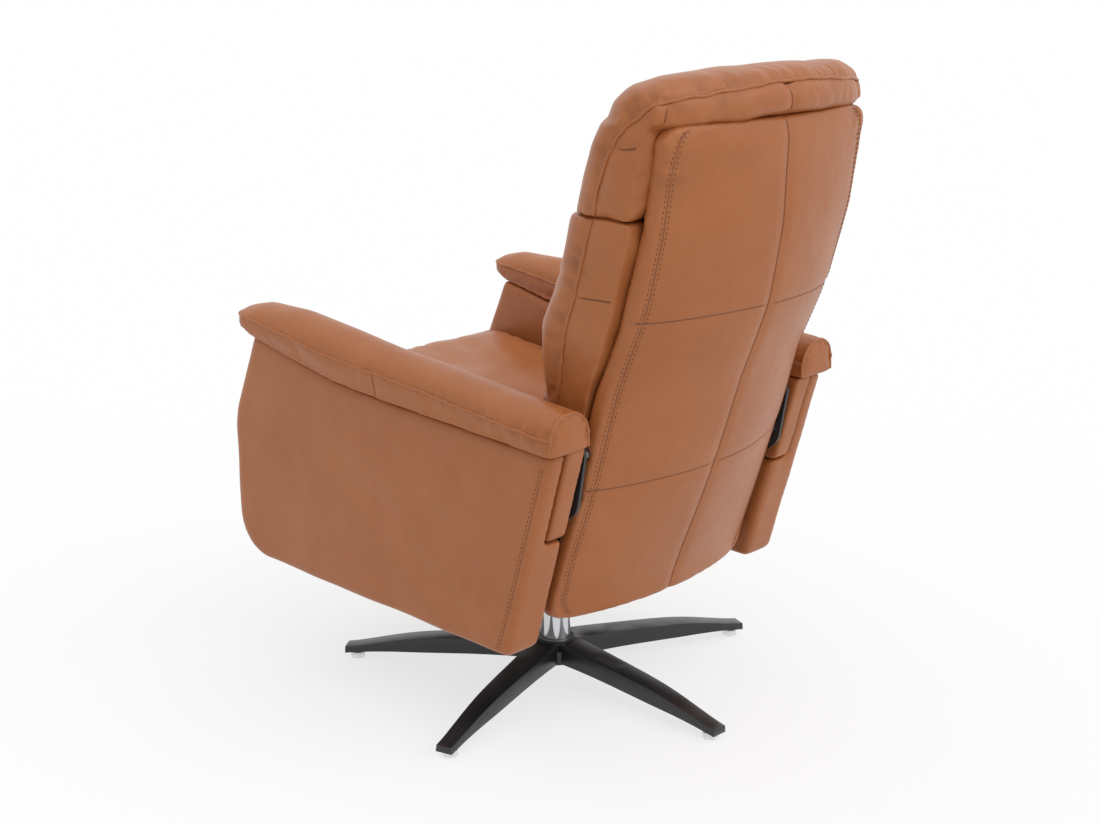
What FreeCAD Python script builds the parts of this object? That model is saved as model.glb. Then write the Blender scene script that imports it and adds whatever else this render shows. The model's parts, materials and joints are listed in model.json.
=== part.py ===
# Star base swivel recliner: a padded chair that turns on a five-legged base.
# Leaning back turns the back on its side brackets; two links push the seat forward,
# and the seat's front crank lifts the leg rest.
# Millimetres, +Z up. The sitter faces -Y, and +X is the sitter's left.
# The origin is on the floor, on the swivel axis.

import FreeCAD, Part
import math
import os
import re
import Sketcher
from FreeCAD import Placement, Rotation, Vector

SIZES = {
    # star base casting
    "leg_count": 5,
    "leg_turn": 87.7,
    "leg_draft": 3,
    "casting_wall": 4.5,
    "hub_radius": 45,
    "hub_foot": 27,
    "hub_step": 50,
    "hub_collar_radius": 33,
    "hub_top": 64,
    "glide_reach": 341,
    "glide_radius": 12,
    "glide_height": 10,
    "glide_stem_radius": 4,
    "glide_stem_length": 8,
    "glide_boss_length": 10,
    # column, bushes and spindle
    "column_radius": 25,
    "column_wall": 2,
    "column_top": 200,
    "bush_length": 28,
    "running_clearance": 0.05,
    "spindle_radius": 12.5,
    "spindle_foot": 46,
    "clip_radius": 18,
    "clip_wall": 3,
    "thrust_radius": 32,
    "thrust_wall": 2.5,
    "play": 1,
    "fine_play": 0.3,
    # swivel plate and frame of the chair
    "plate_side": 230,
    "plate_corner": 18,
    "plate_wall": 5,
    "lip_height": 20,
    "lip_length": 130,
    "cross_tube_side": 30,
    "cross_tube_wall": 2.5,
    "cross_tube_reach": 90,
    "plate_bolt_reach": 82,
    "bolt_radius": 4,
    "bolt_head_radius": 6.5,
    "bolt_head_height": 4,
    "bolt_clearance": 0.25,
    "arm_gap": 246,
    "rail_wall": 5,
    "rail_front": 335,
    "rail_top": 352,
    "rail_shoulder": 300,
    "rail_foot_half": 125,
    "pivot_boss_radius": 24,
    "pivot_radius": 6,
    # recline linkage
    "recline_limit": 28,
    "pivot_y": 165,
    "pivot_z": 345,
    "lever_length": 90,
    "bracket_wall": 5,
    "link_wall": 5,
    "link_length": 140,
    "link_eye_radius": 9,
    "link_pin_radius": 5,
    "link_slack": 1.8,
    "link_hole_rise": 1.3,
    # sliding seat
    "slide_slope": 6,
    "slot_half_height": 6.3,
    "slot_height": 322,
    "slot_front_y": 255,
    "slot_rear_y": 30,
    "slide_block_gap": 0.3,
    "slide_block_half": 9,
    "stud_radius": 4,
    "carriage_wall": 5,
    "carriage_foot": 290,
    "carriage_top": 360,
    "carriage_front": 362,
    "carriage_rear": 105,
    "carriage_bar_side": 20,
    "carriage_bar_wall": 2,
    "rear_bar_foot": 320,
    "front_bar_y": 300,
    "rear_bar_y": 15,
    "deck_front": 295,
    "deck_rear": 112,
    "deck_side_gap": 7,
    "deck_wall": 22,
    "deck_bar_width": 42,
    "strap_count": 6,
    "strap_width": 48,
    "strap_wall": 2,
    # leg rest
    "legrest_limit": 85,
    "legrest_y": 345,
    "legrest_z": 308,
    "yoke_wall": 5,
    "yoke_gap": 2,
    "yoke_depth": 24,
    "yoke_slack": 1.2,
    "crank_wall": 5,
    "legrest_board_wall": 12,
    "legrest_pad_depth": 45,
    "legrest_foot": 180,
    "legrest_gap": 35,
    "legrest_edge": 18,
    "legrest_inset": 4,
    # arms
    "arm_width": 73,
    "arm_board_wall": 16,
    "arm_board_inset": 22,
    "arm_front": 428,
    "arm_nose_height": 430,
    "arm_nose_round": 150,
    "arm_chin_round": 75,
    "arm_foot_front": 192,
    "arm_foot_rear": 184,
    "arm_foot_rear_y": 203,
    "arm_rear_top_y": 294,
    "arm_front_top_y": 365,
    "arm_edge": 12,
    "notch_floor": 366,
    "notch_width": 40,
    "notch_depth": 42,
    "pad_inner_gap": 1,
    "pad_overhang": 13,
    "pad_nose_round": 38,
    "tail_width": 36,
    "tail_depth": 30,
    "tail_proud": 1,
    "tail_gap": 2,
    "tail_top": 512,
    # back
    "shell_side": 24,
    "shell_wall": 10,
    "shell_corner": 38,
    "shell_top_corner": 42,
    "frame_half_width": 200,
    "frame_depth": 18,
    "upright_width": 30,
    "back_rail_height": 40,
    "back_strap_count": 7,
    "bracket_bolt_radius": 3,
    "boss_radius": 8,
    "lining_wall": 3,
    "cushion_corner": 45,
    "cushion_crown": 6,
    "cushion_trim": 10,
    # seat cushion
    "cushion_side_gap": 5,
    "cushion_foot": 385,
    "cushion_front": 410,
    "cushion_crest_y": 330,
    "cushion_crest": 487,
    "cushion_middle": 462,
    "cushion_rear": 124,
    "cushion_rear_top": 452,
    "cushion_edge": 26,
}

# Five-legged casting: each leg section's share of the way out to the glide, and its top,
# underside and width.
LEG_STATIONS = {
    "root": (0.06, 62, 30, 46),
    "shoulder": (0.235, 59, 30, 43),
    "thigh": (0.5, 52, 26, 38),
    "knee": (0.675, 46, 22, 34),
    "shin": (0.82, 37.5, 19, 30),
    "ankle": (0.945, 28, 15, 27),
    "tip": (1.056, 21, 10, 25),
}

# Arm pad from its front nose to its rear cap: y, underside, piping height and ridge.
PAD_STATIONS = {
    "nose": (-407, 597, 603, 610),
    "lip": (-390, 588, 604, 618),
    "front": (-356, 573, 604, 625),
    "grip": (-269, 554, 591, 624),
    "wrist": (-157, 534, 575, 611),
    "middle": (-53, 526, 567, 597),
    "elbow": (185, 515, 545, 579),
    "cap": (304, 509, 535, 573),
}

# Upholstered back shell: height, y of the rear face at its middle, crown and half width.
SHELL_LEVELS = {
    "foot": (212, 243, 40, 222),
    "heel": (243, 252, 44, 226),
    "loin": (442, 329, 56, 226),
    "waist": (579, 372, 62, 227),
    "ribs": (692, 417, 58, 228),
    "shoulder": (812, 437, 46, 228),
    "neck": (926, 441, 32, 227),
    "crest": (956, 435, 26, 226),
}

# Back and head cushions: height, y at the side piping, y at the middle of the front, half width.
CUSHION_LEVELS = {
    "hem": (402, 178, 142, 226),
    "lap": (470, 194, 138, 228),
    "belt": (565, 225, 154, 237),
    "rib": (665, 252, 171, 249),
    "chest": (745, 278, 199, 250),
    "collar": (830, 301, 231, 250),
    "temple": (880, 314, 248, 250),
    "brow": (925, 331, 266, 250),
    "crown": (956, 345, 281, 247),
}

# Head roll over the top of the shell: height, y at the side piping, front, half width, and the
# rear at its sides and its middle.
ROLL_LEVELS = {
    "base": (956, 345, 281, 243, 402, 442),
    "seam": (984, 358, 296, 238, 402, 443),
    "cheek": (1003, 366, 316, 224, 397, 438),
    "top": (1016, 376, 346, 194, 388, 424),
}

document = FreeCAD.newDocument("star_base_swivel_recliner")
sheet = document.addObject("Spreadsheet::Sheet", "Sizes")


def fill_sheet():
    """Write every driving size into the sheet, one row each, with its name as alias."""
    cells = dict(SIZES)
    tables = (
        ("leg", LEG_STATIONS, ("share", "top", "under", "width")),
        ("pad", PAD_STATIONS, ("y", "base", "piping", "ridge")),
        ("shell", SHELL_LEVELS, ("level", "rear", "crown", "half")),
        ("cushion", CUSHION_LEVELS, ("level", "side", "front", "half")),
        ("roll", ROLL_LEVELS, ("level", "side", "front", "half", "edge", "rear")),
    )
    for prefix, table, fields in tables:
        for station, numbers in table.items():
            for field, number in zip(fields, numbers):
                cells["%s_%s_%s" % (prefix, station, field)] = number
    for row, (name, number) in enumerate(cells.items(), start=1):
        sheet.set("A%d" % row, name.replace("_", " "))
        sheet.set("B%d" % row, str(number))
        sheet.setAlias("B%d" % row, name)
    document.recompute()
    return set(cells)


ALIASES = fill_sheet()


def value(text):
    """The number that a formula of the sheet's names stands for."""
    return float(sheet.evalExpression(text))


def formula(text):
    """The same formula with each name pointing at the sheet."""
    def lookup(word):
        name = word.group()
        return "Sizes." + name if name in ALIASES else name
    return re.sub(r"[a-z]\w*", lookup, text)


def bind(item, **formulas):
    """Tie properties of an object to formulas."""
    for name, text in formulas.items():
        item.setExpression(name, formula(text))


def place(item, x="0", y="0", z="0"):
    """Tie an object's place to formulas."""
    for axis, text in (("x", x), ("y", y), ("z", z)):
        item.setExpression("Placement.Base." + axis, formula(text))
    return item


def box(name, length, width, height, x="0", y="0", z="0"):
    """A box from its lowest corner."""
    item = document.addObject("Part::Box", name)
    bind(item, Length=length, Width=width, Height=height)
    return place(item, x, y, z)


def rod(name, radius, length, x="0", y="0", z="0", along="x"):
    """A round bar that starts at x, y, z and runs along one axis."""
    item = document.addObject("Part::Cylinder", name)
    bind(item, Radius=radius, Height=length)
    turns = {
        "x": Rotation(Vector(0, 1, 0), 90),
        "y": Rotation(Vector(1, 0, 0), -90),
        "z": Rotation(),
    }
    item.Placement = Placement(Vector(), turns[along])
    return place(item, x, y, z)


def cut(name, base, tool):
    """The first object less the second."""
    item = document.addObject("Part::Cut", name)
    item.Base = base
    item.Tool = tool
    return item


def fuse(name, items):
    """Several objects made one."""
    item = document.addObject("Part::MultiFuse", name)
    item.Shapes = items
    return item


def group(name, items):
    """Like pieces that share one node and stay separate solids."""
    item = document.addObject("Part::Compound", name)
    item.Links = items
    return item


def solid(name, shape):
    """A free form whose shape is worked out here from the sheet's values."""
    item = document.addObject("Part::Feature", name)
    item.Shape = shape
    return item


def yz(x):
    """Lift a flat outline point to the plane that crosses the chair at x."""
    return lambda u, v: Vector(x, u, v)


def xz(y):
    """Lift a flat outline point to the plane that faces the sitter at y."""
    return lambda u, v: Vector(u, y, v)


def xy(z):
    """Lift a flat outline point to the level plane at z."""
    return lambda u, v: Vector(u, v, z)


def flat(u, v):
    """An outline point in a sketch's own plane."""
    return Vector(u, v, 0)


def rounded(corners, lift):
    """Lines and arcs of a closed outline from its corners, each (u, v, corner radius)."""
    starts, ends, arcs = [], [], []
    for index, (u, v, radius) in enumerate(corners):
        here = Vector(u, v, 0)
        before = Vector(*corners[index - 1][:2], 0) - here
        after = Vector(*corners[(index + 1) % len(corners)][:2], 0) - here
        half = before.getAngle(after) / 2
        if radius == 0:
            starts.append(here)
            ends.append(here)
            arcs.append(None)
            continue
        run = radius / math.tan(half)
        first = here + before.normalize() * run
        last = here + after.normalize() * run
        inward = (before + after).normalize()
        middle = here + inward * (radius / math.sin(half) - radius)
        starts.append(first)
        ends.append(last)
        arcs.append(middle)
    curves = []
    for index, middle in enumerate(arcs):
        if middle is not None:
            points = [lift(p.x, p.y) for p in (starts[index], middle, ends[index])]
            curves.append(Part.Arc(*points))
        following = starts[(index + 1) % len(arcs)]
        if (following - ends[index]).Length > 1e-6:
            here = ends[index]
            curves.append(Part.LineSegment(lift(here.x, here.y), lift(following.x, following.y)))
    return curves


def face_of(curves):
    """A flat face inside a closed outline."""
    return Part.Face(Part.Wire([curve.toShape() for curve in curves]))


def prism(corners, lift, run):
    """An outline's face pushed along a vector."""
    return face_of(rounded(corners, lift)).extrude(run)


def slot(start, end, half):
    """Outline of a straight slot with round ends, between two centres."""
    along = Vector(end[0] - start[0], end[1] - start[1], 0).normalize()
    across = Vector(-along.y, along.x, 0) * half
    first, last = Vector(*start, 0), Vector(*end, 0)
    return [
        Part.LineSegment(first + across, last + across),
        Part.Arc(last + across, last + along * half, last - across),
        Part.LineSegment(last - across, first - across),
        Part.Arc(first - across, first - along * half, first + across),
    ]


def plane_of(body, role):
    """One of a body's own origin planes."""
    return next(item for item in body.Origin.OriginFeatures if item.Role == role)


def plate(name, corners, wall, x, holes=(), slots=()):
    """A flat plate that faces sideways, from x on: an outline in (y, z), round holes and slots."""
    body = document.addObject("PartDesign::Body", name)
    sketch = body.newObject("Sketcher::SketchObject", name + "_outline")
    sketch.AttachmentSupport = [(plane_of(body, "YZ_Plane"), "")]
    sketch.MapMode = "FlatFace"
    for curve in rounded(corners, flat):
        sketch.addGeometry(curve, False)
    for curves in slots:
        for curve in curves:
            sketch.addGeometry(curve, False)
    for y, z, radius in holes:
        circle = sketch.addGeometry(Part.Circle(Vector(y, z, 0), Vector(0, 0, 1), value(radius)), False)
        rule = sketch.addConstraint(Sketcher.Constraint("Radius", circle, value(radius)))
        sketch.setExpression("Constraints[%d]" % rule, formula(radius))
    pad = body.newObject("PartDesign::Pad", name + "_wall")
    pad.Profile = sketch
    bind(pad, Length=wall)
    place(body, x=x)
    return body


def both_sides(name, make, inner, wall):
    """Make the left plate at +X and its right twin at -X; inner is the distance to the near face."""
    make("left_" + name, inner)
    make("right_" + name, "-(%s) - %s" % (inner, wall))


def mirrored(shape):
    """The same shape on the other side of the chair."""
    return shape.mirror(Vector(), Vector(1, 0, 0))


def interpolate(points, at):
    """Height of a polyline of (place, height) at one place."""
    for (low, a), (high, b) in zip(points, points[1:]):
        if low <= at <= high:
            return a + (b - a) * (at - low) / (high - low)
    raise ValueError("outside the line")


# Planes of the side mechanism, from the arm inwards: rail, back bracket, link, carriage side,
# yoke arm and leg rest crank.
RAIL = "arm_gap - rail_wall"
BRACKET = RAIL + " - play - bracket_wall"
LINK = BRACKET + " - play - link_wall"
CARRIAGE = LINK + " - play - carriage_wall"
YOKE = CARRIAGE + " - yoke_gap - yoke_wall"
CRANK = YOKE + " - yoke_gap - crank_wall"

PLATE_FOOT = "column_top + thrust_wall + fine_play"
PLATE_TOP = PLATE_FOOT + " + plate_wall"
TUBE_TOP = PLATE_TOP + " + cross_tube_side"


def seat_travel():
    """How far the seat slides: the lever below the back's pivot swings evenly about the vertical."""
    return 2 * value("lever_length") * math.sin(math.radians(value("recline_limit / 2")))


def star_base():
    """One casting: a turned hub and five tapering legs with a flat top, open underneath."""
    body = document.addObject("PartDesign::Body", "star_base")
    ground = plane_of(body, "XY_Plane")
    upright = plane_of(body, "XZ_Plane")
    across = plane_of(body, "YZ_Plane")

    profile = body.newObject("Sketcher::SketchObject", "hub_profile")
    profile.AttachmentSupport = [(upright, "")]
    profile.MapMode = "FlatFace"
    bore, outer, collar = value("column_radius"), value("hub_radius"), value("hub_collar_radius")
    foot, step, top = value("hub_foot"), value("hub_step"), value("hub_top")
    hub = [
        (bore, foot, 0), (outer, foot, 3), (outer, step, 6),
        (collar, top - 4, 5), (collar, top, 2), (bore, top, 0),
    ]
    for curve in rounded(hub, flat):
        profile.addGeometry(curve, False)

    def leg_section(kind, station, wall):
        sketch = body.newObject("Sketcher::SketchObject", "%s_%s" % (kind, station))
        sketch.AttachmentSupport = [(across, "")]
        sketch.MapMode = "FlatFace"
        sketch.setExpression("AttachmentOffset.Base.z", formula("leg_%s_share * glide_reach" % station))
        top = value("leg_%s_top" % station) - wall
        under = value("leg_%s_under" % station) - wall
        half_top = value("leg_%s_width" % station) / 2 - wall
        half_foot = half_top + value("leg_draft") / 2
        corners = [(-half_foot, under), (half_foot, under), (half_top, top), (-half_top, top)]
        for index, corner in enumerate(corners):
            following = corners[(index + 1) % len(corners)]
            sketch.addGeometry(Part.LineSegment(flat(*corner), flat(*following)), False)
        return sketch

    stations = list(LEG_STATIONS)
    outer_sections = [leg_section("leg", station, 0) for station in stations]
    leg = body.newObject("PartDesign::AdditiveLoft", "leg")
    leg.Profile = outer_sections[0]
    leg.Sections = outer_sections[1:]
    document.recompute()

    wall = value("casting_wall")
    hollow_sections = [leg_section("hollow", station, wall) for station in stations[1:-1]]
    hollow = body.newObject("PartDesign::SubtractiveLoft", "leg_hollow")
    hollow.Profile = hollow_sections[0]
    hollow.Sections = hollow_sections[1:]
    document.recompute()

    boss_sketch = body.newObject("Sketcher::SketchObject", "glide_boss_outline")
    boss_sketch.AttachmentSupport = [(ground, "")]
    boss_sketch.MapMode = "FlatFace"
    boss_sketch.setExpression("AttachmentOffset.Base.z", formula("glide_height"))
    circle = boss_sketch.addGeometry(
        Part.Circle(flat(value("glide_reach"), 0), Vector(0, 0, 1), value("glide_radius")), False)
    rule = boss_sketch.addConstraint(Sketcher.Constraint("Radius", circle, value("glide_radius")))
    boss_sketch.setExpression("Constraints[%d]" % rule, formula("glide_radius"))
    boss = body.newObject("PartDesign::Pad", "glide_boss")
    boss.Profile = boss_sketch
    bind(boss, Length="glide_boss_length")
    document.recompute()

    socket_sketch = body.newObject("Sketcher::SketchObject", "glide_socket_outline")
    socket_sketch.AttachmentSupport = [(ground, "")]
    socket_sketch.MapMode = "FlatFace"
    socket_sketch.setExpression("AttachmentOffset.Base.z", formula("glide_height"))
    circle = socket_sketch.addGeometry(
        Part.Circle(flat(value("glide_reach"), 0), Vector(0, 0, 1), value("glide_stem_radius")), False)
    rule = socket_sketch.addConstraint(Sketcher.Constraint("Radius", circle, value("glide_stem_radius")))
    socket_sketch.setExpression("Constraints[%d]" % rule, formula("glide_stem_radius"))
    socket = body.newObject("PartDesign::Pocket", "glide_socket")
    socket.Profile = socket_sketch
    socket.Reversed = True
    bind(socket, Length="glide_stem_length")
    document.recompute()

    pattern = body.newObject("PartDesign::PolarPattern", "legs")
    pattern.Originals = [leg, hollow, boss, socket]
    pattern.Axis = (next(item for item in body.Origin.OriginFeatures if item.Role == "Z_Axis"), [""])
    pattern.Angle = 360
    bind(pattern, Occurrences="leg_count")
    body.Tip = pattern
    document.recompute()

    hub_turn = body.newObject("PartDesign::Revolution", "hub")
    hub_turn.Profile = profile
    hub_turn.ReferenceAxis = (profile, ["V_Axis"])
    hub_turn.Angle = 360
    document.recompute()

    bore_sketch = body.newObject("Sketcher::SketchObject", "bore_outline")
    bore_sketch.AttachmentSupport = [(ground, "")]
    bore_sketch.MapMode = "FlatFace"
    circle = bore_sketch.addGeometry(Part.Circle(flat(0, 0), Vector(0, 0, 1), value("column_radius")), False)
    rule = bore_sketch.addConstraint(Sketcher.Constraint("Radius", circle, value("column_radius")))
    bore_sketch.setExpression("Constraints[%d]" % rule, formula("column_radius"))
    bore_cut = body.newObject("PartDesign::Pocket", "bore")
    bore_cut.Profile = bore_sketch
    bore_cut.Reversed = True
    bore_cut.Type = "ThroughAll"
    body.Tip = bore_cut
    body.Placement = Placement(Vector(), Rotation(Vector(0, 0, 1), 0))
    body.setExpression("Placement.Rotation.Angle", formula("leg_turn"))
    return body


def around(count, reach, turn, make):
    """Repeat a piece evenly around the swivel axis."""
    return [make(index, value(turn) + 360 * index / count) for index in range(count)]


def floor_glides():
    """Clear plastic glides, each a disc with a stem pressed into a leg."""
    def glide(index, angle):
        spot = Vector(value("glide_reach"), 0, 0)
        spot = Rotation(Vector(0, 0, 1), angle).multVec(spot)
        x, y = str(spot.x), str(spot.y)
        disc = rod("glide_disc_%d" % index, "glide_radius", "glide_height", x, y, along="z")
        stem = rod("glide_stem_%d" % index, "glide_stem_radius", "glide_stem_length", x, y, "glide_height", "z")
        return fuse("glide_%d" % index, [disc, stem])
    return group("floor_glides", around(int(value("leg_count")), "glide_reach", "leg_turn", glide))


def ring(name, outer, inner, height, z):
    """A flat ring or tube around the swivel axis."""
    return cut(name, rod(name + "_outside", outer, height, z=z, along="z"),
               rod(name + "_inside", inner, height, z=z, along="z"))


def column():
    """Chromed column with two bushes, the spindle that turns in them and what holds it."""
    ring("column_tube", "column_radius", "column_radius - column_wall", "column_top - hub_foot", "hub_foot")
    bush_bore = "spindle_radius + running_clearance"
    ring("upper_bush", "column_radius - column_wall", bush_bore, "bush_length", "column_top - bush_length")
    lower = "spindle_foot + 2 * clip_wall + fine_play"
    ring("lower_bush", "column_radius - column_wall", bush_bore, "bush_length", lower)
    ring("thrust_ring", "thrust_radius", bush_bore, "thrust_wall", "column_top")
    groove = ring("spindle_groove", "spindle_radius + 1", "spindle_radius - 1.5", "clip_wall",
                  "spindle_foot + clip_wall")
    shaft = rod("spindle_shaft", "spindle_radius", PLATE_FOOT + " - spindle_foot", z="spindle_foot", along="z")
    cut("spindle", shaft, groove)
    clip = ring("clip_round", "clip_radius", "spindle_radius - 1.5", "clip_wall", "spindle_foot + clip_wall")
    mouth = box("clip_mouth", "clip_radius", "spindle_radius", "clip_wall", y="-spindle_radius / 2",
                z="spindle_foot + clip_wall")
    cut("spindle_clip", clip, mouth)


def swivel_plate():
    """Pressed steel plate under the chair, with two upturned lips, bolted to the cross tubes."""
    body = document.addObject("PartDesign::Body", "swivel_plate")
    sketch = body.newObject("Sketcher::SketchObject", "swivel_plate_outline")
    sketch.AttachmentSupport = [(plane_of(body, "XY_Plane"), "")]
    sketch.MapMode = "FlatFace"
    half, corner = value("plate_side / 2"), value("plate_corner")
    square = [(-half, -half, corner), (half, -half, corner), (half, half, corner), (-half, half, corner)]
    for curve in rounded(square, flat):
        sketch.addGeometry(curve, False)
    hole = "bolt_radius + bolt_clearance"
    for x in (-1, 1):
        for y in (-1, 1):
            centre = flat(x * value("plate_bolt_reach"), y * value("cross_tube_reach"))
            circle = sketch.addGeometry(Part.Circle(centre, Vector(0, 0, 1), value(hole)), False)
            rule = sketch.addConstraint(Sketcher.Constraint("Radius", circle, value(hole)))
            sketch.setExpression("Constraints[%d]" % rule, formula(hole))
    pad = body.newObject("PartDesign::Pad", "swivel_plate_wall")
    pad.Profile = sketch
    bind(pad, Length="plate_wall")
    document.recompute()
    lips = body.newObject("Sketcher::SketchObject", "lip_outline")
    lips.AttachmentSupport = [(plane_of(body, "XY_Plane"), "")]
    lips.MapMode = "FlatFace"
    long, thick = value("lip_length / 2"), value("plate_wall")
    for side in (-1, 1):
        edges = sorted((side * half, side * (half - thick)))
        lip = [(edges[0], -long, 0), (edges[1], -long, 0), (edges[1], long, 0), (edges[0], long, 0)]
        for curve in rounded(lip, flat):
            lips.addGeometry(curve, False)
    raised = body.newObject("PartDesign::Pad", "lip")
    raised.Profile = lips
    bind(raised, Length="plate_wall + lip_height")
    place(body, z=PLATE_FOOT)


def square_tube(name, span, side, wall, y, z):
    """Square tube across the chair, from its length, its axis at y and its underside at z."""
    start = "-(%s) / 2" % span
    outside = box(name + "_outside", span, side, side, start, "%s - %s / 2" % (y, side), z)
    room = "%s - 2 * %s" % (side, wall)
    inside = box(name + "_inside", span, room, room, start, "%s - %s / 2 + %s" % (y, side, wall),
                 "%s + %s" % (z, wall))
    return cut(name, outside, inside)


def cross_tube(name, y):
    """Square tube across the chair, drilled for the plate's bolts."""
    span = "2 * (%s)" % RAIL
    tube = square_tube(name + "_blank", span, "cross_tube_side", "cross_tube_wall", y, PLATE_TOP)
    hole = "bolt_radius + bolt_clearance"
    drills = [
        rod("%s_drill_%d" % (name, index), hole, "cross_tube_wall", x, y, PLATE_TOP, "z")
        for index, x in enumerate(("-plate_bolt_reach", "plate_bolt_reach"))
    ]
    cut(name, tube, fuse(name + "_drills", drills))


def plate_bolts():
    """Four bolts up through the swivel plate and the cross tubes, with their nuts."""
    bolts = []
    for x in ("-plate_bolt_reach", "plate_bolt_reach"):
        for y in ("-cross_tube_reach", "cross_tube_reach"):
            name = "plate_bolt_%d" % len(bolts)
            head = rod(name + "_head", "bolt_head_radius", "bolt_head_height", x, y,
                       PLATE_FOOT + " - bolt_head_height", "z")
            length = "plate_wall + cross_tube_wall + bolt_head_height"
            shank = rod(name + "_shank", "bolt_radius", length, x, y, PLATE_FOOT, "z")
            nut = rod(name + "_nut", "bolt_head_radius", "bolt_head_height", x, y,
                      PLATE_TOP + " + cross_tube_wall", "z")
            bolts.append(fuse(name, [head, shank, nut]))
    group("plate_bolts", bolts)


def slide_way(front):
    """Centre of one sliding stud at rest and at the end of the seat's travel, as (y, z)."""
    start = (-value(front), value("slot_height"))
    run = seat_travel()
    slope = math.radians(value("slide_slope"))
    return start, (start[0] - run * math.cos(slope), start[1] + run * math.sin(slope))


def side_rails():
    """Steel side plates on the cross tubes, with the slots that the seat slides in."""
    front, top, shoulder = -value("rail_front"), value("rail_top"), value("rail_shoulder")
    pivot_y, pivot_z, boss = value("pivot_y"), value("pivot_z"), value("pivot_boss_radius")
    foot, half = value(PLATE_TOP), value("rail_foot_half")
    corners = [
        (front, shoulder - 2, 14), (front, top, 16),
        (pivot_y - 40, top, 30), (pivot_y - 12, pivot_z + boss, 20),
        (pivot_y + boss, pivot_z + boss, boss * 0.95), (pivot_y + boss, pivot_z - boss, boss * 0.95),
        (half, foot, 20), (-half, foot, 20), (-half - 60, shoulder - 20, 30),
    ]
    slots = []
    spare = value("slide_block_half - slot_half_height + slide_block_gap")
    for start in ("slot_front_y", "slot_rear_y"):
        begin, end = (Vector(*spot, 0) for spot in slide_way(start))
        along = (end - begin).normalize() * spare
        begin, end = begin - along, end + along
        slots.append(slot((begin.x, begin.y), (end.x, end.y), value("slot_half_height")))
    holes = [(pivot_y, pivot_z, "pivot_radius")]
    holes += [(y, z, "bolt_radius + bolt_clearance") for y, z in arm_bolt_spots()]

    def make(name, x):
        plate(name, corners, "rail_wall", x, holes, slots)
    both_sides("side_rail", make, RAIL, "rail_wall")


def arm_bolt_spots():
    """Where each arm is bolted to its side rail, as (y, z)."""
    low = value(PLATE_TOP + " + cross_tube_side + 15")
    middle = value("slot_height - 24")
    return [(-value("rail_front - 30"), value("rail_shoulder + 8")), (-value("cross_tube_reach"), low),
            (value("cross_tube_reach"), low), (value("pivot_y - 60"), middle + 30)]


def pad_base_points():
    """Underside of the arm pad, which is also the top line of the arm panel."""
    return [(value("pad_%s_y" % s), value("pad_%s_base" % s)) for s in PAD_STATIONS]


def arm_outline(inset):
    """Outline of an arm panel in (y, z), drawn in by an inset for the board inside."""
    base = pad_base_points()
    front, rear = -value("arm_front"), value("arm_rear_top_y")
    top_front = -value("arm_front_top_y")
    corners = [(top_front + inset, interpolate(base, top_front) - inset, 8)]
    for station in ("grip", "wrist", "middle", "elbow"):
        y = value("pad_%s_y" % station)
        corners.append((y, interpolate(base, y) - inset, 0))
    corners += [
        (rear - inset, interpolate(base, rear) - inset, 3),
        (value("arm_foot_rear_y") - inset, value("arm_foot_rear") + inset, 12),
        (front + inset, value("arm_foot_front") + inset, value("arm_chin_round") - inset / 2),
        (front + inset, value("arm_nose_height"), value("arm_nose_round")),
    ]
    return corners


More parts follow.
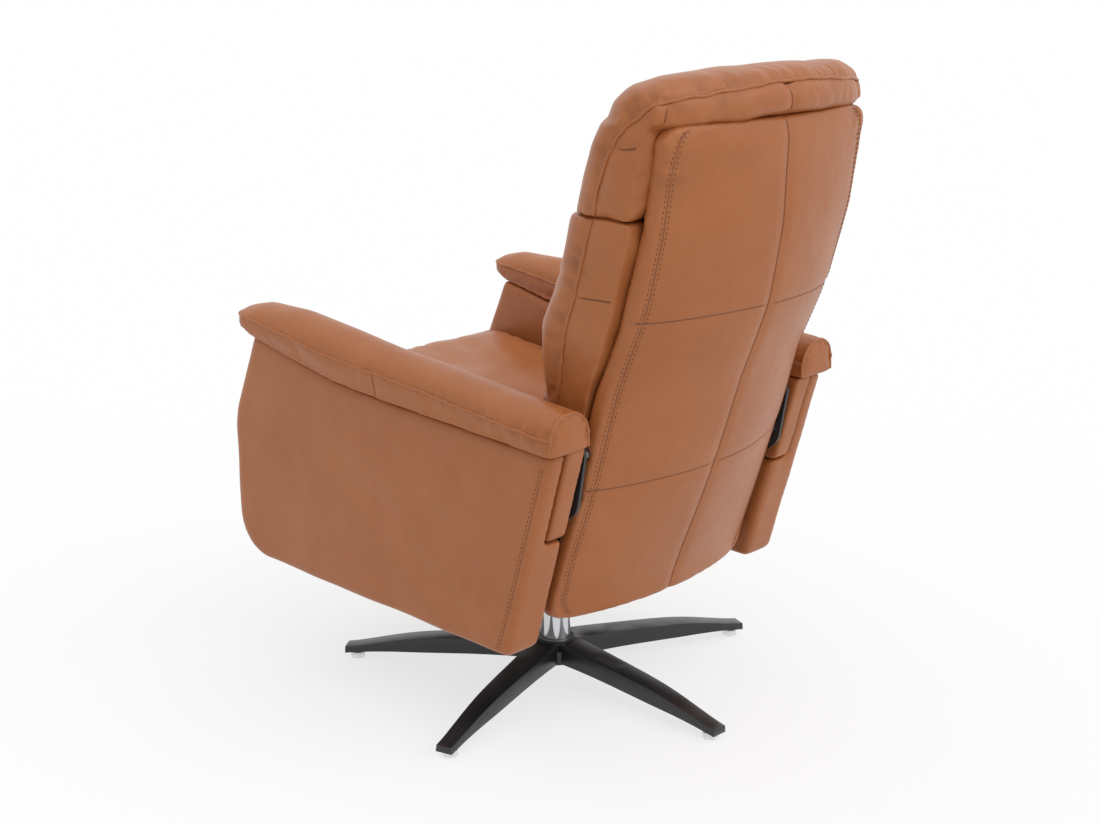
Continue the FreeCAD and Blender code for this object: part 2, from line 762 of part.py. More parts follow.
def arms():
    """Each arm: a plywood board inside, the upholstered panel around it, its bolts, pad and tail."""
    gap, width, board_wall = value("arm_gap"), value("arm_width"), value("arm_board_wall")
    bolt = value("bolt_radius + bolt_clearance")
    board = prism(arm_outline(value("arm_board_inset")), yz(gap), Vector(board_wall, 0, 0))
    foot_y, foot_z = value("arm_foot_rear_y"), value("arm_foot_rear")
    top_y, top_z = value("arm_rear_top_y"), value("tail_top")
    beyond = value("arm_front")
    corners = [(foot_y, foot_z, 0), (top_y, top_z, 0), (top_y + beyond, top_z, 0), (foot_y + beyond, foot_z, 0)]
    notch = prism(corners, yz(gap), Vector(value("notch_width"), 0, 0))
    notch.translate(Vector(0, -value("notch_depth"), 0))
    notch = notch.common(Part.makeBox(value("notch_width"), 2 * beyond, beyond,
                                      Vector(gap, 0, value("notch_floor"))))
    panel = prism(arm_outline(0), yz(gap), Vector(width, 0, 0))
    nose_limit, foot_limit = -value("arm_front_top_y - 30"), value("arm_foot_front + 1")
    outline_edges = [e for e in panel.Edges if e.BoundBox.XLength < 0.01]
    soft_edges = [e for e in outline_edges if e.BoundBox.YMax < nose_limit]
    foot_edges = [e for e in outline_edges if e.BoundBox.ZMax < foot_limit]
    soft_edges += [e for e in foot_edges if e.BoundBox.YLength > beyond / 2]
    panel = panel.makeFillet(value("arm_edge"), soft_edges)
    board = board.cut(notch)
    drills = [
        Part.makeCylinder(bolt, board_wall, Vector(gap, y, z), Vector(1, 0, 0)) for y, z in arm_bolt_spots()
    ]
    for drill in drills:
        board = board.cut(drill)
    sockets = [
        Part.makeCylinder(value("bolt_head_radius") + 1, value("bolt_head_height") + 1,
                          Vector(gap + board_wall, y, z), Vector(1, 0, 0)) for y, z in arm_bolt_spots()
    ]
    panel = panel.cut(prism(arm_outline(value("arm_board_inset")), yz(gap), Vector(board_wall, 0, 0)))
    panel = panel.cut(notch)
    for socket in sockets:
        panel = panel.cut(socket)
    pad = arm_pad()
    panel = panel.cut(pad)
    solid("left_arm_panel", panel)
    solid("right_arm_panel", mirrored(panel))
    solid("left_arm_board", board)
    solid("right_arm_board", mirrored(board))

    bolts = []
    for y, z in arm_bolt_spots():
        start = gap - value("rail_wall")
        head = Part.makeCylinder(value("bolt_head_radius"), value("bolt_head_height"),
                                 Vector(start - value("bolt_head_height"), y, z), Vector(1, 0, 0))
        length = value("rail_wall + bolt_head_height") + board_wall
        shank = Part.makeCylinder(value("bolt_radius"), length, Vector(start, y, z), Vector(1, 0, 0))
        nut = Part.makeCylinder(value("bolt_head_radius"), value("bolt_head_height"),
                                Vector(gap + board_wall, y, z), Vector(1, 0, 0))
        bolts.append(head.fuse(shank).fuse(nut).removeSplitter())
    solid("arm_bolts", Part.makeCompound(bolts + [mirrored(bolt) for bolt in bolts]))

    solid("left_arm_pad", pad)
    solid("right_arm_pad", mirrored(pad))
    tail = arm_tail()
    solid("left_arm_tail", tail)
    solid("right_arm_tail", mirrored(tail))


def arm_pad():
    """Padded arm rest: a D-shaped section that runs from a thin nose to a half-round rear cap."""
    inner = value("arm_gap + pad_inner_gap")
    outer = value("arm_gap + arm_width + pad_overhang")
    sections = []
    for station in PAD_STATIONS:
        y = value("pad_%s_y" % station)
        base, piping, ridge = (value("pad_%s_%s" % (station, field)) for field in ("base", "piping", "ridge"))
        lift = xz(y)
        middle = (inner + outer) / 2
        sections.append(Part.Wire([
            Part.LineSegment(lift(inner, base), lift(outer, base)).toShape(),
            Part.LineSegment(lift(outer, base), lift(outer, piping)).toShape(),
            Part.Arc(lift(outer, piping), lift(middle, ridge), lift(inner, piping)).toShape(),
            Part.LineSegment(lift(inner, piping), lift(inner, base)).toShape(),
        ]))
    pad = Part.makeLoft(sections, True, True)
    nose, cap = value("pad_nose_y"), value("pad_cap_y")
    turn = value("pad_nose_round")
    plan = [(inner, nose, turn), (outer, nose, turn), (outer, cap, 0), (inner, cap, 0)]
    low, high = value("pad_cap_base"), value("pad_front_ridge")
    gate = face_of(rounded(plan, xy(low - 10))).extrude(Vector(0, 0, high - low + 40))
    return pad.common(gate)


def arm_tail():
    """Padded strip that comes down from the pad's rear cap and rests on the notch floor."""
    inner = value("arm_gap + tail_gap")
    low = value("notch_floor")
    high = interpolate(pad_base_points(), value("arm_rear_top_y + tail_proud"))
    slope = (value("arm_rear_top_y") - value("arm_foot_rear_y")) / (high - value("arm_foot_rear"))

    def rear(z):
        return value("arm_foot_rear_y") + slope * (z - value("arm_foot_rear")) + value("tail_proud")
    depth = value("tail_depth")
    outline = [
        (rear(low) - depth, low, 8), (rear(low), low, 14),
        (rear(high), high, 0), (rear(high) - depth, high, 0),
    ]
    return prism(outline, yz(inner), Vector(value("tail_width"), 0, 0))


def lever_points():
    """The back's pivot and the foot of its lever at rest, as (y, z)."""
    pivot = (value("pivot_y"), value("pivot_z"))
    half = math.radians(value("recline_limit") / 2)
    reach = value("lever_length")
    return pivot, (pivot[0] + reach * math.sin(half), pivot[1] - reach * math.cos(half))


def carriage_pin_point():
    """Where a link pushes the seat carriage: level with the middle of the lever's swing."""
    _, foot = lever_points()
    level = foot[1] - seat_travel() * math.sin(math.radians(value("slide_slope"))) / 2
    drop = foot[1] - level
    return foot[0] - math.sqrt(value("link_length") ** 2 - drop ** 2), level


def crank_point():
    """The leg rest crank's pin at rest, placed so that it swings evenly about the vertical."""
    half = math.radians(value("legrest_limit") / 2)
    travel = seat_travel() * math.cos(math.radians(value("slide_slope")))
    radius = travel / (2 * math.sin(half))
    return -value("legrest_y") - radius * math.sin(half), value("legrest_z") + radius * math.cos(half), radius


def back_linkage():
    """Brackets that carry the back, their pivot pins and washers, and the links to the seat."""
    pivot, foot = lever_points()
    seat_pin = carriage_pin_point()
    eye = value("link_eye_radius")
    bolts = bracket_bolt_spots()
    (low_y, low_z), (high_y, high_z) = bolts
    corners = [
        (foot[0] - eye - 4, foot[1] - eye - 3, 12), (foot[0] + eye + 4, foot[1] - eye - 3, 12),
        (foot[0] + eye + 8, foot[1] + 40, 30), (pivot[0] + 26, pivot[1] - 8, 30),
        (low_y + 16, low_z - 20, 30),
        (high_y + 14, high_z + 12, 12), (high_y - 14, high_z + 14, 12), (low_y - 22, low_z + 4, 30),
        (pivot[0] - 19, pivot[1] + 20, 18), (pivot[0] - 19, pivot[1] - 20, 18),
    ]
    holes = [(pivot[0], pivot[1], "pivot_radius + running_clearance"), (foot[0], foot[1], "link_pin_radius")]
    holes += [(y, z, "bracket_bolt_radius + bolt_clearance") for y, z in bolts]

    def bracket(name, x):
        plate(name, corners, "bracket_wall", x, holes)
    both_sides("back_bracket", bracket, BRACKET, "bracket_wall")

    direction = Vector(seat_pin[0] - foot[0], seat_pin[1] - foot[1], 0).normalize()
    side = Vector(-direction.y, direction.x, 0)
    link_corners = []
    for centre, along in ((Vector(*foot, 0), -1), (Vector(*seat_pin, 0), 1)):
        for across in (-along, along):
            spot = centre + direction * eye * along * 1.2 + side * eye * across
            link_corners.append((spot.x, spot.y, eye * 0.9))
    link_holes = [(foot[0], foot[1], "link_pin_radius + running_clearance"),
                  (seat_pin[0], seat_pin[1] + value("link_hole_rise"), "link_pin_radius + link_slack")]

    def link(name, x):
        plate(name, link_corners, "link_wall", x, link_holes)
    both_sides("drive_link", link, LINK, "link_wall")

    def pins(name, radius, length, inner, y, z):
        items = []
        for label, start in (("left", inner), ("right", "-(%s) - (%s)" % (inner, length))):
            items.append(rod("%s_%s" % (label, name), radius, length, start, str(y), str(z)))
        return group(name + "s", items)

    pins("pivot_pin", "pivot_radius", "rail_wall + play + bracket_wall", BRACKET, *pivot)
    washers = []
    y, z = str(pivot[0]), str(pivot[1])
    for label, start in (("left", RAIL + " - play + 0.1"), ("right", "-(%s)" % RAIL)):
        outside = rod(label + "_washer_outside", "pivot_radius + 6", "play - 0.1", start, y, z)
        inside = rod(label + "_washer_inside", "pivot_radius", "play - 0.1", start, y, z)
        washers.append(cut(label + "_pivot_washer", outside, inside))
    group("pivot_washers", washers)
    pins("lever_pin", "link_pin_radius", "link_wall + play + bracket_wall", LINK, *foot)
    pins("carriage_pin", "link_pin_radius", "link_wall + play + carriage_wall", CARRIAGE, *seat_pin)


def level_line(field):
    """Heights and one measure of the back shell's levels."""
    return [(value("shell_%s_level" % s), field(s)) for s in SHELL_LEVELS]


def shell_front(station):
    """y of the shell's front edge at a level."""
    return value("shell_%s_rear - shell_%s_crown - shell_side" % (station, station))


def front_at(z):
    """y of the plane between shell and cushion at a height."""
    return interpolate(level_line(shell_front), z)


def bracket_bolt_spots():
    """Where a bracket is bolted to an upright of the back frame, as (y, z)."""
    spots = []
    for z in (value("pivot_z + 80"), value("pivot_z + 145")):
        spots.append((front_at(z) + value("frame_depth") / 2, z))
    return spots


def slab(points, depth, x, run):
    """A bar that follows a line of (y, z) points with an even depth behind it, across the chair."""
    front = [(y, z, 0) for z, y in points]
    rear = [(y + depth, z, 0) for z, y in reversed(points)]
    return prism(front + rear, yz(x), Vector(run, 0, 0))


def shell_stretch(low, high):
    """Front line of the shell between two heights, as (z, y) points."""
    inner = [(z, y) for z, y in level_line(shell_front) if low < z < high]
    return [(low, front_at(low))] + inner + [(high, front_at(high))]


def ahead_of_back(low, high):
    """Everything between the swivel axis and the shell's front line, from one height to another."""
    line = [(y, z, 0) for z, y in shell_stretch(low, high)]
    reach = value("arm_gap + cushion_corner")
    return prism(line + [(0, high, 0), (0, low, 0)], yz(-reach), Vector(2 * reach, 0, 0))


def shell_loft(inset, front_shift, low_shift, high_shift):
    """Crowned block of the back from its levels, drawn in by an inset at the rear and sides."""
    sections = []
    for station in SHELL_LEVELS:
        z = value("shell_%s_level" % station)
        if station == "foot":
            z += low_shift
        if station == "crest":
            z += high_shift
        half = value("shell_%s_half" % station) - inset
        rear = value("shell_%s_rear" % station) - inset
        seam = rear - value("shell_%s_crown" % station)
        front = shell_front(station) + front_shift
        corners = [Vector(x, y, z) for x, y in ((-half, front), (half, front), (half, seam), (-half, seam))]
        sections.append(Part.Wire([
            Part.LineSegment(corners[0], corners[1]).toShape(),
            Part.LineSegment(corners[1], corners[2]).toShape(),
            Part.Arc(corners[2], Vector(0, rear, z), corners[3]).toShape(),
            Part.LineSegment(corners[3], corners[0]).toShape(),
        ]))
    return Part.makeLoft(sections, True, True)


def back():
    """The back: frame, straps, outer shell, lining, cushion and head cushion."""
    half, depth = value("frame_half_width"), value("frame_depth")
    low, high = value("shell_heel_level"), value("shell_neck_level")
    upright = slab(shell_stretch(low, high), depth, half - value("upright_width"), value("upright_width"))
    span = 2 * (half - value("upright_width"))
    rails = []
    height = value("back_rail_height")
    for start in (low, value("pivot_z + 60"), value("shell_ribs_level"), high - height):
        rails.append(slab(shell_stretch(start, start + height), depth, -span / 2, span))
    frame = upright.fuse([mirrored(upright)] + rails).removeSplitter()

    boss_radius = value("boss_radius")
    inner = value("frame_half_width")
    outer = value(BRACKET)
    bosses, bolts, drills = [], [], []
    for y, z in bracket_bolt_spots():
        hole = Part.makeCylinder(value("bracket_bolt_radius + bolt_clearance"), outer - inner + 20,
                                 Vector(inner - 20, y, z), Vector(1, 0, 0))
        tube = Part.makeCylinder(boss_radius, outer - inner, Vector(inner, y, z), Vector(1, 0, 0))
        bosses.append(tube.cut(hole))
        drills.append(hole)
        shank = Part.makeCylinder(value("bracket_bolt_radius"), outer - inner + 15 + value("bracket_wall"),
                                  Vector(inner - 15, y, z), Vector(1, 0, 0))
        head = Part.makeCylinder(value("bracket_bolt_radius") * 2, value("bolt_head_height") - 1,
                                 Vector(outer + value("bracket_wall"), y, z), Vector(1, 0, 0))
        bolts.append(shank.fuse(head).removeSplitter())
    for drill in drills:
        frame = frame.cut(drill).cut(mirrored(drill))
    solid("back_frame", frame)
    solid("bracket_spacers", Part.makeCompound(bosses + [mirrored(boss) for boss in bosses]))
    solid("bracket_bolts", Part.makeCompound(bolts + [mirrored(bolt) for bolt in bolts]))

    straps = []
    count = int(value("back_strap_count"))
    first, last = low + height + 12, high - height - value("strap_width") - 8
    for index in range(count):
        start = first + (last - first) * index / (count - 1)
        stretch = shell_stretch(start, start + value("strap_width"))
        band = slab([(z, y + 2) for z, y in stretch], value("strap_wall"), -span / 2, span)
        band = band.cut(frame)
        straps += band.Solids
    solid("back_straps", Part.makeCompound(straps))

    shell = shell_loft(0, 0, 0, 0)
    bottom, top = value("shell_foot_level"), value("shell_crest_level")
    width = value("shell_ribs_half + shell_wall / 2")
    low_turn, high_turn = value("shell_corner"), value("shell_top_corner")
    outline = [
        (-width, bottom, low_turn), (width, bottom, low_turn),
        (width, top, high_turn), (-width, top, high_turn),
    ]
    gate = prism(outline, xz(0), Vector(0, value("shell_neck_rear + shell_side"), 0))
    wall = value("shell_wall")
    shell = shell.common(gate)
    hollow = shell_loft(wall, -value("2 * shell_side"), 2 * wall, -wall)
    shell = shell.cut(hollow)
    for y, z in bracket_bolt_spots():
        length = value("arm_gap") - inner
        boss_hole = Part.makeCylinder(boss_radius, length, Vector(inner, y, z), Vector(1, 0, 0))
        shell = shell.cut(boss_hole).cut(mirrored(boss_hole))
    solid("back_shell", shell)

    lining_wall, lining_half = value("lining_wall"), value("shell_heel_half - 8")
    stretch = shell_stretch(value("shell_foot_level + shell_side"), value("cushion_hem_level"))
    lining = slab([(z, y - lining_wall) for z, y in stretch], lining_wall, -lining_half, 2 * lining_half)
    solid("back_lining", lining)

    padding = []
    for station in CUSHION_LEVELS:
        fields = ("level", "side", "front", "half")
        level, side, front, wide = (value("cushion_%s_%s" % (station, field)) for field in fields)
        rear = front_at(level) + value("cushion_trim")
        padding.append((level, cushion_section(level, side, front, wide, rear, rear)))
    hem, collar, crown = (value("cushion_%s_level" % station) for station in ("hem", "collar", "crown"))
    cushion = Part.makeLoft([wire for level, wire in padding if level <= collar], True, True)
    solid("back_cushion", cushion.common(ahead_of_back(hem, collar)))

    head = Part.makeLoft([wire for level, wire in padding if level >= collar], True, True)
    head = head.common(ahead_of_back(collar, crown))
    roll = []
    for station in ROLL_LEVELS:
        fields = ("level", "side", "front", "half", "edge", "rear")
        roll.append(cushion_section(*(value("roll_%s_%s" % (station, field)) for field in fields)))
    solid("head_cushion", head.fuse(Part.makeLoft(roll, True, True)).removeSplitter())


def cushion_section(level, side, front, wide, edge, rear):
    """Level section of a cushion: a crowned front with full corners, short sides and its rear."""
    corner = value("cushion_corner")
    brim = front + value("cushion_crown")
    lean = 0.29
    turn = Vector(wide - lean * corner, side - (1 - lean) * (side - brim), level)
    mirror_turn = Vector(-turn.x, turn.y, level)
    left, right = Vector(wide, side, level), Vector(-wide, side, level)
    left_brim, right_brim = Vector(wide - corner, brim, level), Vector(corner - wide, brim, level)
    left_rear, right_rear = Vector(wide, edge, level), Vector(-wide, edge, level)
    if rear > edge:
        behind = Part.Arc(left_rear, Vector(0, rear, level), right_rear)
    else:
        behind = Part.LineSegment(left_rear, right_rear)
    curves = [
        behind,
        Part.LineSegment(right_rear, right),
        Part.Arc(right, mirror_turn, right_brim),
        Part.Arc(right_brim, Vector(0, front, level), left_brim),
        Part.Arc(left_brim, turn, left),
        Part.LineSegment(left, left_rear),
    ]
    return Part.Wire([curve.toShape() for curve in curves])


def seat():
    """The sliding seat: carriage plates and bars, sliding studs, deck frame, straps and cushion."""
    seat_pin = carriage_pin_point()
    hinge = (-value("legrest_y"), value("legrest_z"))
    foot, top = value("carriage_foot"), value("carriage_top")
    front, rear = -value("carriage_front"), value("carriage_rear")
    ear = value("link_eye_radius") + 6
    corners = [
        (front, foot, 14), (front, hinge[1] + 18, 12), (front + 40, top, 20), (rear, top, 0),
        (rear, top - 30, 10), (seat_pin[0] + ear + 12, foot + 8, 12),
        (seat_pin[0] + ear, seat_pin[1] - ear, 12),
        (seat_pin[0] - ear, seat_pin[1] - ear, 12), (seat_pin[0] - ear - 16, foot, 12),
    ]
    holes = [(hinge[0], hinge[1], "link_pin_radius"), (seat_pin[0], seat_pin[1], "link_pin_radius")]
    studs = []
    for start in ("slot_front_y", "slot_rear_y"):
        (y, z), _ = slide_way(start)
        holes.append((y, z, "stud_radius"))
        studs.append((y, z))

    def side(name, x):
        plate(name, corners, "carriage_wall", x, holes)
    both_sides("carriage_side", side, CARRIAGE, "carriage_wall")

    span = "2 * (%s)" % CARRIAGE
    bars = []
    for label, y, z in (("front", "-front_bar_y", "carriage_foot"), ("rear", "-rear_bar_y", "rear_bar_foot")):
        bars.append(square_tube(label + "_carriage_bar", span, "carriage_bar_side", "carriage_bar_wall", y, z))
    group("carriage_bars", bars)

    blocks, pins = [], []
    along = math.radians(value("slide_slope"))
    for index, (y, z) in enumerate(studs):
        for label, sign in (("left", 1), ("right", -1)):
            inner, outer = value(RAIL) + 0.4, value("arm_gap") - 0.4
            reach = value("slot_half_height") - value("slide_block_gap")
            long = value("slide_block_half")
            block = Part.makeBox(outer - inner, 2 * long, 2 * reach, Vector(inner, -long, -reach))
            ends = [e for e in block.Edges if e.BoundBox.XLength > outer - inner - 0.1]
            block = block.makeFillet(reach * 0.95, ends)
            block.rotate(Vector(), Vector(1, 0, 0), -math.degrees(along))
            block.translate(Vector(0, y, z))
            start, face = value(CARRIAGE), value(CARRIAGE + " + carriage_wall")
            radius = value("stud_radius")
            stud = Part.makeCylinder(radius, outer - start, Vector(start, y, z), Vector(1, 0, 0))
            block = block.cut(stud)
            collar = Part.makeCylinder(radius + 4, inner - 0.6 - face, Vector(face, y, z), Vector(1, 0, 0))
            stud = stud.fuse(collar).removeSplitter()
            blocks.append(block if sign > 0 else mirrored(block))
            pins.append(stud if sign > 0 else mirrored(stud))
    solid("slide_blocks", Part.makeCompound(blocks))
    solid("slide_studs", Part.makeCompound(pins))

    deck_front, deck_rear = "-deck_front", "deck_rear"
    length = "deck_front + deck_rear"
    width, side = "2 * (arm_gap - deck_side_gap)", "deck_side_gap - arm_gap"
    slab_out = box("deck_outside", width, length, "deck_wall", side, deck_front, "carriage_top")
    bars_out = " - 2 * deck_bar_width"
    opening = box("deck_opening", width + bars_out, length + bars_out, "deck_wall",
                  side + " + deck_bar_width", deck_front + " + deck_bar_width", "carriage_top")
    cut("seat_deck", slab_out, opening)

    straps = []
    count = int(value("strap_count"))
    first = value("-deck_front") + 2
    last = value("deck_rear - strap_width") - 2
    for index in range(count):
        start = first + (last - first) * index / (count - 1)
        straps.append(box("seat_strap_%d" % index, width + " - deck_bar_width", "strap_width", "strap_wall",
                          side + " + deck_bar_width / 2", str(start), "carriage_top + deck_wall"))
    group("seat_straps", straps)

    hinge_pins = []
    for label, start in (("left", CRANK), ("right", "-(%s)" % CARRIAGE + " - carriage_wall")):
        reach = "(%s) - (%s) + carriage_wall" % (CARRIAGE, CRANK)
        y, z = str(hinge[0]), str(hinge[1])
        hinge_pins.append(rod(label + "_hinge_pin", "link_pin_radius", reach, start, y, z))
    group("legrest_pins", hinge_pins)

    base = value("cushion_foot")
    front_y, rear_y = -value("cushion_front"), value("cushion_rear")
    edge = value("cushion_edge")
    outline = [
        (front_y, base, edge * 0.6), (front_y, value("cushion_crest") - 6, edge * 1.4),
        (-value("cushion_crest_y"), value("cushion_crest"), 120), (-120, value("cushion_middle"), 200),
        (rear_y, value("cushion_rear_top"), edge), (rear_y, base, 6),
    ]
    wide = value("arm_gap - cushion_side_gap")
    cushion = prism(outline, yz(-wide), Vector(2 * wide, 0, 0))
    rims = [e for e in cushion.Edges if e.BoundBox.XLength < 0.01 and e.BoundBox.ZMin > base + 30]
    cushion = cushion.makeFillet(edge * 0.5, rims)
    solid("seat_cushion", cushion)


def legrest():
    """Leg rest: cranked side plates on the seat's front, a board, its pad, and the fixed yokes."""
    crank_y, crank_z, radius = crank_point()
    hinge_y, hinge_z = -value("legrest_y"), value("legrest_z")
    board_front = hinge_y - 7
    board_rear = board_front + value("legrest_board_wall")
    foot = value("legrest_foot")
    corners = [
        (crank_y - 12, crank_z - 8, 8), (crank_y - 4, crank_z + 11, 9), (crank_y + 12, crank_z + 6, 9),
        (hinge_y + 15, hinge_z + 6, 12), (hinge_y + 14, hinge_z - 20, 14), (board_rear, hinge_z - 40, 10),
        (board_rear, foot + 20, 5), (board_front, foot + 20, 5), (board_front, hinge_z - 10, 0),
    ]
    holes = [(hinge_y, hinge_z, "link_pin_radius + running_clearance"), (crank_y, crank_z, "link_pin_radius")]

    def arm(name, x):
        plate(name, corners, "crank_wall", x, holes)
    both_sides("legrest_arm", arm, CRANK, "crank_wall")

    crank_pins = []
    length = "crank_wall + yoke_gap + yoke_wall"
    for label, start in (("left", CRANK), ("right", "-(%s) - (%s)" % (CRANK, length))):
        y, z = str(crank_y), str(crank_z)
        crank_pins.append(rod(label + "_crank_pin", "link_pin_radius", length, start, y, z))
    group("crank_pins", crank_pins)

    width = "2 * (%s)" % CRANK
    head = value("cushion_foot - legrest_gap")
    bar = box("legrest_board", width, "legrest_board_wall", "cushion_foot - legrest_gap - legrest_foot - 18",
              "-(%s)" % CRANK, str(board_front), "legrest_foot + 5")
    inset = value(CRANK) - value("legrest_inset")
    depth = value("legrest_pad_depth")
    edge = value("legrest_edge")
    outline = [
        (board_front - depth, foot, edge), (board_front - depth, head, edge),
        (board_front, head, 4), (board_front, foot, 4),
    ]
    pad = prism(outline, yz(-inset), Vector(2 * inset, 0, 0))
    solid("legrest_pad", pad)

    half = value("yoke_depth") / 2
    rise = seat_travel() * math.sin(math.radians(value("slide_slope")))
    low = crank_z
    high = value("legrest_z") + radius + rise / 2
    eye = slot((crank_y, low - 0.5), (crank_y, high + 0.5), value("link_pin_radius + yoke_slack"))
    tube_y, top = -value("cross_tube_reach"), value(TUBE_TOP)
    tube_half = value("cross_tube_side") / 2
    corners = [
        (crank_y - half, low - half, half * 0.9), (tube_y - tube_half - 30, low - half, 30),
        (tube_y - tube_half, top, 0), (tube_y + tube_half, top, 0),
        (tube_y + tube_half - 4, high + half - 4, 30),
        (crank_y - half, high + half, half * 0.9),
    ]

    def yoke(name, x):
        plate(name, corners, "yoke_wall", x, slots=[eye])
    both_sides("yoke_arm", yoke, YOKE, "yoke_wall")


NODES = [
    "star_base", "floor_glides", "column_tube", "upper_bush", "lower_bush", "thrust_ring",
    "spindle", "spindle_clip", "swivel_plate", "front_cross_tube", "rear_cross_tube", "plate_bolts",
    "left_side_rail", "right_side_rail", "left_yoke_arm", "right_yoke_arm",
    "left_arm_board", "right_arm_board", "left_arm_panel", "right_arm_panel", "arm_bolts",
    "left_arm_pad", "right_arm_pad", "left_arm_tail", "right_arm_tail", "pivot_pins", "pivot_washers",
    "left_back_bracket", "right_back_bracket", "lever_pins", "bracket_spacers", "bracket_bolts",
    "back_frame", "back_straps", "back_shell", "back_lining", "back_cushion", "head_cushion",
    "left_drive_link", "right_drive_link",
    "left_carriage_side", "right_carriage_side", "carriage_bars", "carriage_pins",
    "slide_blocks", "slide_studs", "seat_deck", "seat_straps", "seat_cushion", "legrest_pins",
    "left_legrest_arm", "right_legrest_arm", "crank_pins", "legrest_board", "legrest_pad",
]


def build():
    """Make every piece, check it and write its file."""
    star_base()
    floor_glides()
    column()
    swivel_plate()
    cross_tube("front_cross_tube", "-cross_tube_reach")
    cross_tube("rear_cross_tube", "cross_tube_reach")
    plate_bolts()
    side_rails()
    arms()
    back_linkage()
    back()
    seat()
    legrest()
    document.recompute()
    for item in document.Objects:
        if "Invalid" in item.State or "Error" in item.State:
            raise RuntimeError("%s did not build" % item.Label)
    os.makedirs("parts", exist_ok=True)
    for name in NODES:
        shape = document.getObject(name).Shape
        if shape.isNull() or not shape.isValid():
            raise RuntimeError("%s has no sound shape" % name)
        shape.exportStep("parts/%s.step" % name)
        print("%-22s %2d solids %10.1f mm3" % (name, len(shape.Solids), shape.Volume))


build()
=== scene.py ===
"""Star base swivel recliner: leather covers, seams, finishes and stage around the packed CAD part."""

import json
import math

import bmesh
import bpy
import numpy as np
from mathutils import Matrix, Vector
from mathutils.bvhtree import BVHTree

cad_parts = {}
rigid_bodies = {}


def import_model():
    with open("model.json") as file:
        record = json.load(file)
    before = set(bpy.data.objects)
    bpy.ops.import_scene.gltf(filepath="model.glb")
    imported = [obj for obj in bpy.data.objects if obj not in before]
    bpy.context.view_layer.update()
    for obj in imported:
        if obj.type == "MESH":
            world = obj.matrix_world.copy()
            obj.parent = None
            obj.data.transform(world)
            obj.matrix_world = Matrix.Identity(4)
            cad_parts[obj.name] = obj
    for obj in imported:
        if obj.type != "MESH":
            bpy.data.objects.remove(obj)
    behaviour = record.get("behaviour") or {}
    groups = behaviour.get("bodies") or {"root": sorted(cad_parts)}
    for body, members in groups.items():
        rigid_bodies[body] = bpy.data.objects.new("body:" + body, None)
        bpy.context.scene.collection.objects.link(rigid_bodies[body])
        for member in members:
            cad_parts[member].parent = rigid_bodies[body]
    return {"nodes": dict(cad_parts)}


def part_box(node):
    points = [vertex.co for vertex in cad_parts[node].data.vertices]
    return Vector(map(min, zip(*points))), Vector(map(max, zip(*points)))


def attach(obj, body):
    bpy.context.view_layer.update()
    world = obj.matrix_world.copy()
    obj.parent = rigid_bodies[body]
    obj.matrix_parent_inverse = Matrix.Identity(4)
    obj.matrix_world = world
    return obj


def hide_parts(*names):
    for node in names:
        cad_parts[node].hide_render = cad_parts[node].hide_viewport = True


bl_info = {
    "name": "Swivel recliner covers",
    "version": (1, 0, 0),
    "blender": (4, 5, 0),
    "location": "View3D > Sidebar > Recliner",
    "description": "Builds the padded leather covers and finishes of a star base recliner",
    "category": "Object",
}

# Steps of the filling simulation.
FRAMES = 20

# How far above a cushion its top seams start from when they are dropped on it, in metres.
ABOVE = 0.1


def length_property(name, text, size):
    """A length in metres, shown in the file's units."""
    return bpy.props.FloatProperty(
        name=name, description=text, default=size, subtype="DISTANCE", unit="LENGTH"
    )


def place_property(name, text, place):
    """A point in metres."""
    return bpy.props.FloatVectorProperty(
        name=name, description=text, default=place, size=3, subtype="XYZ", unit="LENGTH"
    )


def share_property(name, text, size):
    """A plain number."""
    return bpy.props.FloatProperty(name=name, description=text, default=size)


def colour_property(name, text, colour):
    """A linear colour."""
    return bpy.props.FloatVectorProperty(
        name=name, description=text, default=colour, size=3, subtype="COLOR", min=0, max=1
    )


class LeatherLook(bpy.types.PropertyGroup):
    """Colour and surface of the leather."""

    tone: colour_property("Tone", "Main colour of the leather", (0.385, 0.120, 0.032))
    # The deep tone is painted shade: the colour put into folds and seams where shade falls.
    deep: colour_property("Deep tone", "Colour in folds and seams", (0.10, 0.026, 0.008))
    pale: colour_property("Pale tone", "Colour of the lighter patches", (0.445, 0.152, 0.048))
    thread: colour_property("Thread", "Colour of the topstitching", (0.20, 0.075, 0.035))
    roughness: share_property("Roughness", "How dull the leather is", 0.42)
    coat: share_property("Coat", "Strength of the clear finish", 0.12)
    grain_size: length_property("Grain", "Size of one pebble of the grain", 0.0012)
    grain_depth: length_property("Grain depth", "Depth of the grain", 0.00010)
    wave_size: length_property("Wave", "Size of the soft unevenness under the leather", 0.045)
    wave_depth: length_property("Wave depth", "Depth of that unevenness", 0.0006)


class PaddingSizes(bpy.types.PropertyGroup):
    """How the padded pieces are made."""

    voxel: length_property("Voxel", "Spacing of the cover's points before smoothing", 0.005)
    tuck: length_property("Tuck", "How much a cover is drawn in before it is filled", 0.0015)
    firm: length_property("Firm", "How far a thin cover may swell", 0.004)
    soft: length_property("Soft", "How far a deep cushion may swell", 0.011)
    pressure: share_property("Pressure", "Pressure of the filling", 4.0)
    shell_net: length_property("Shell net", "Spacing of the back shell's points", 0.004)


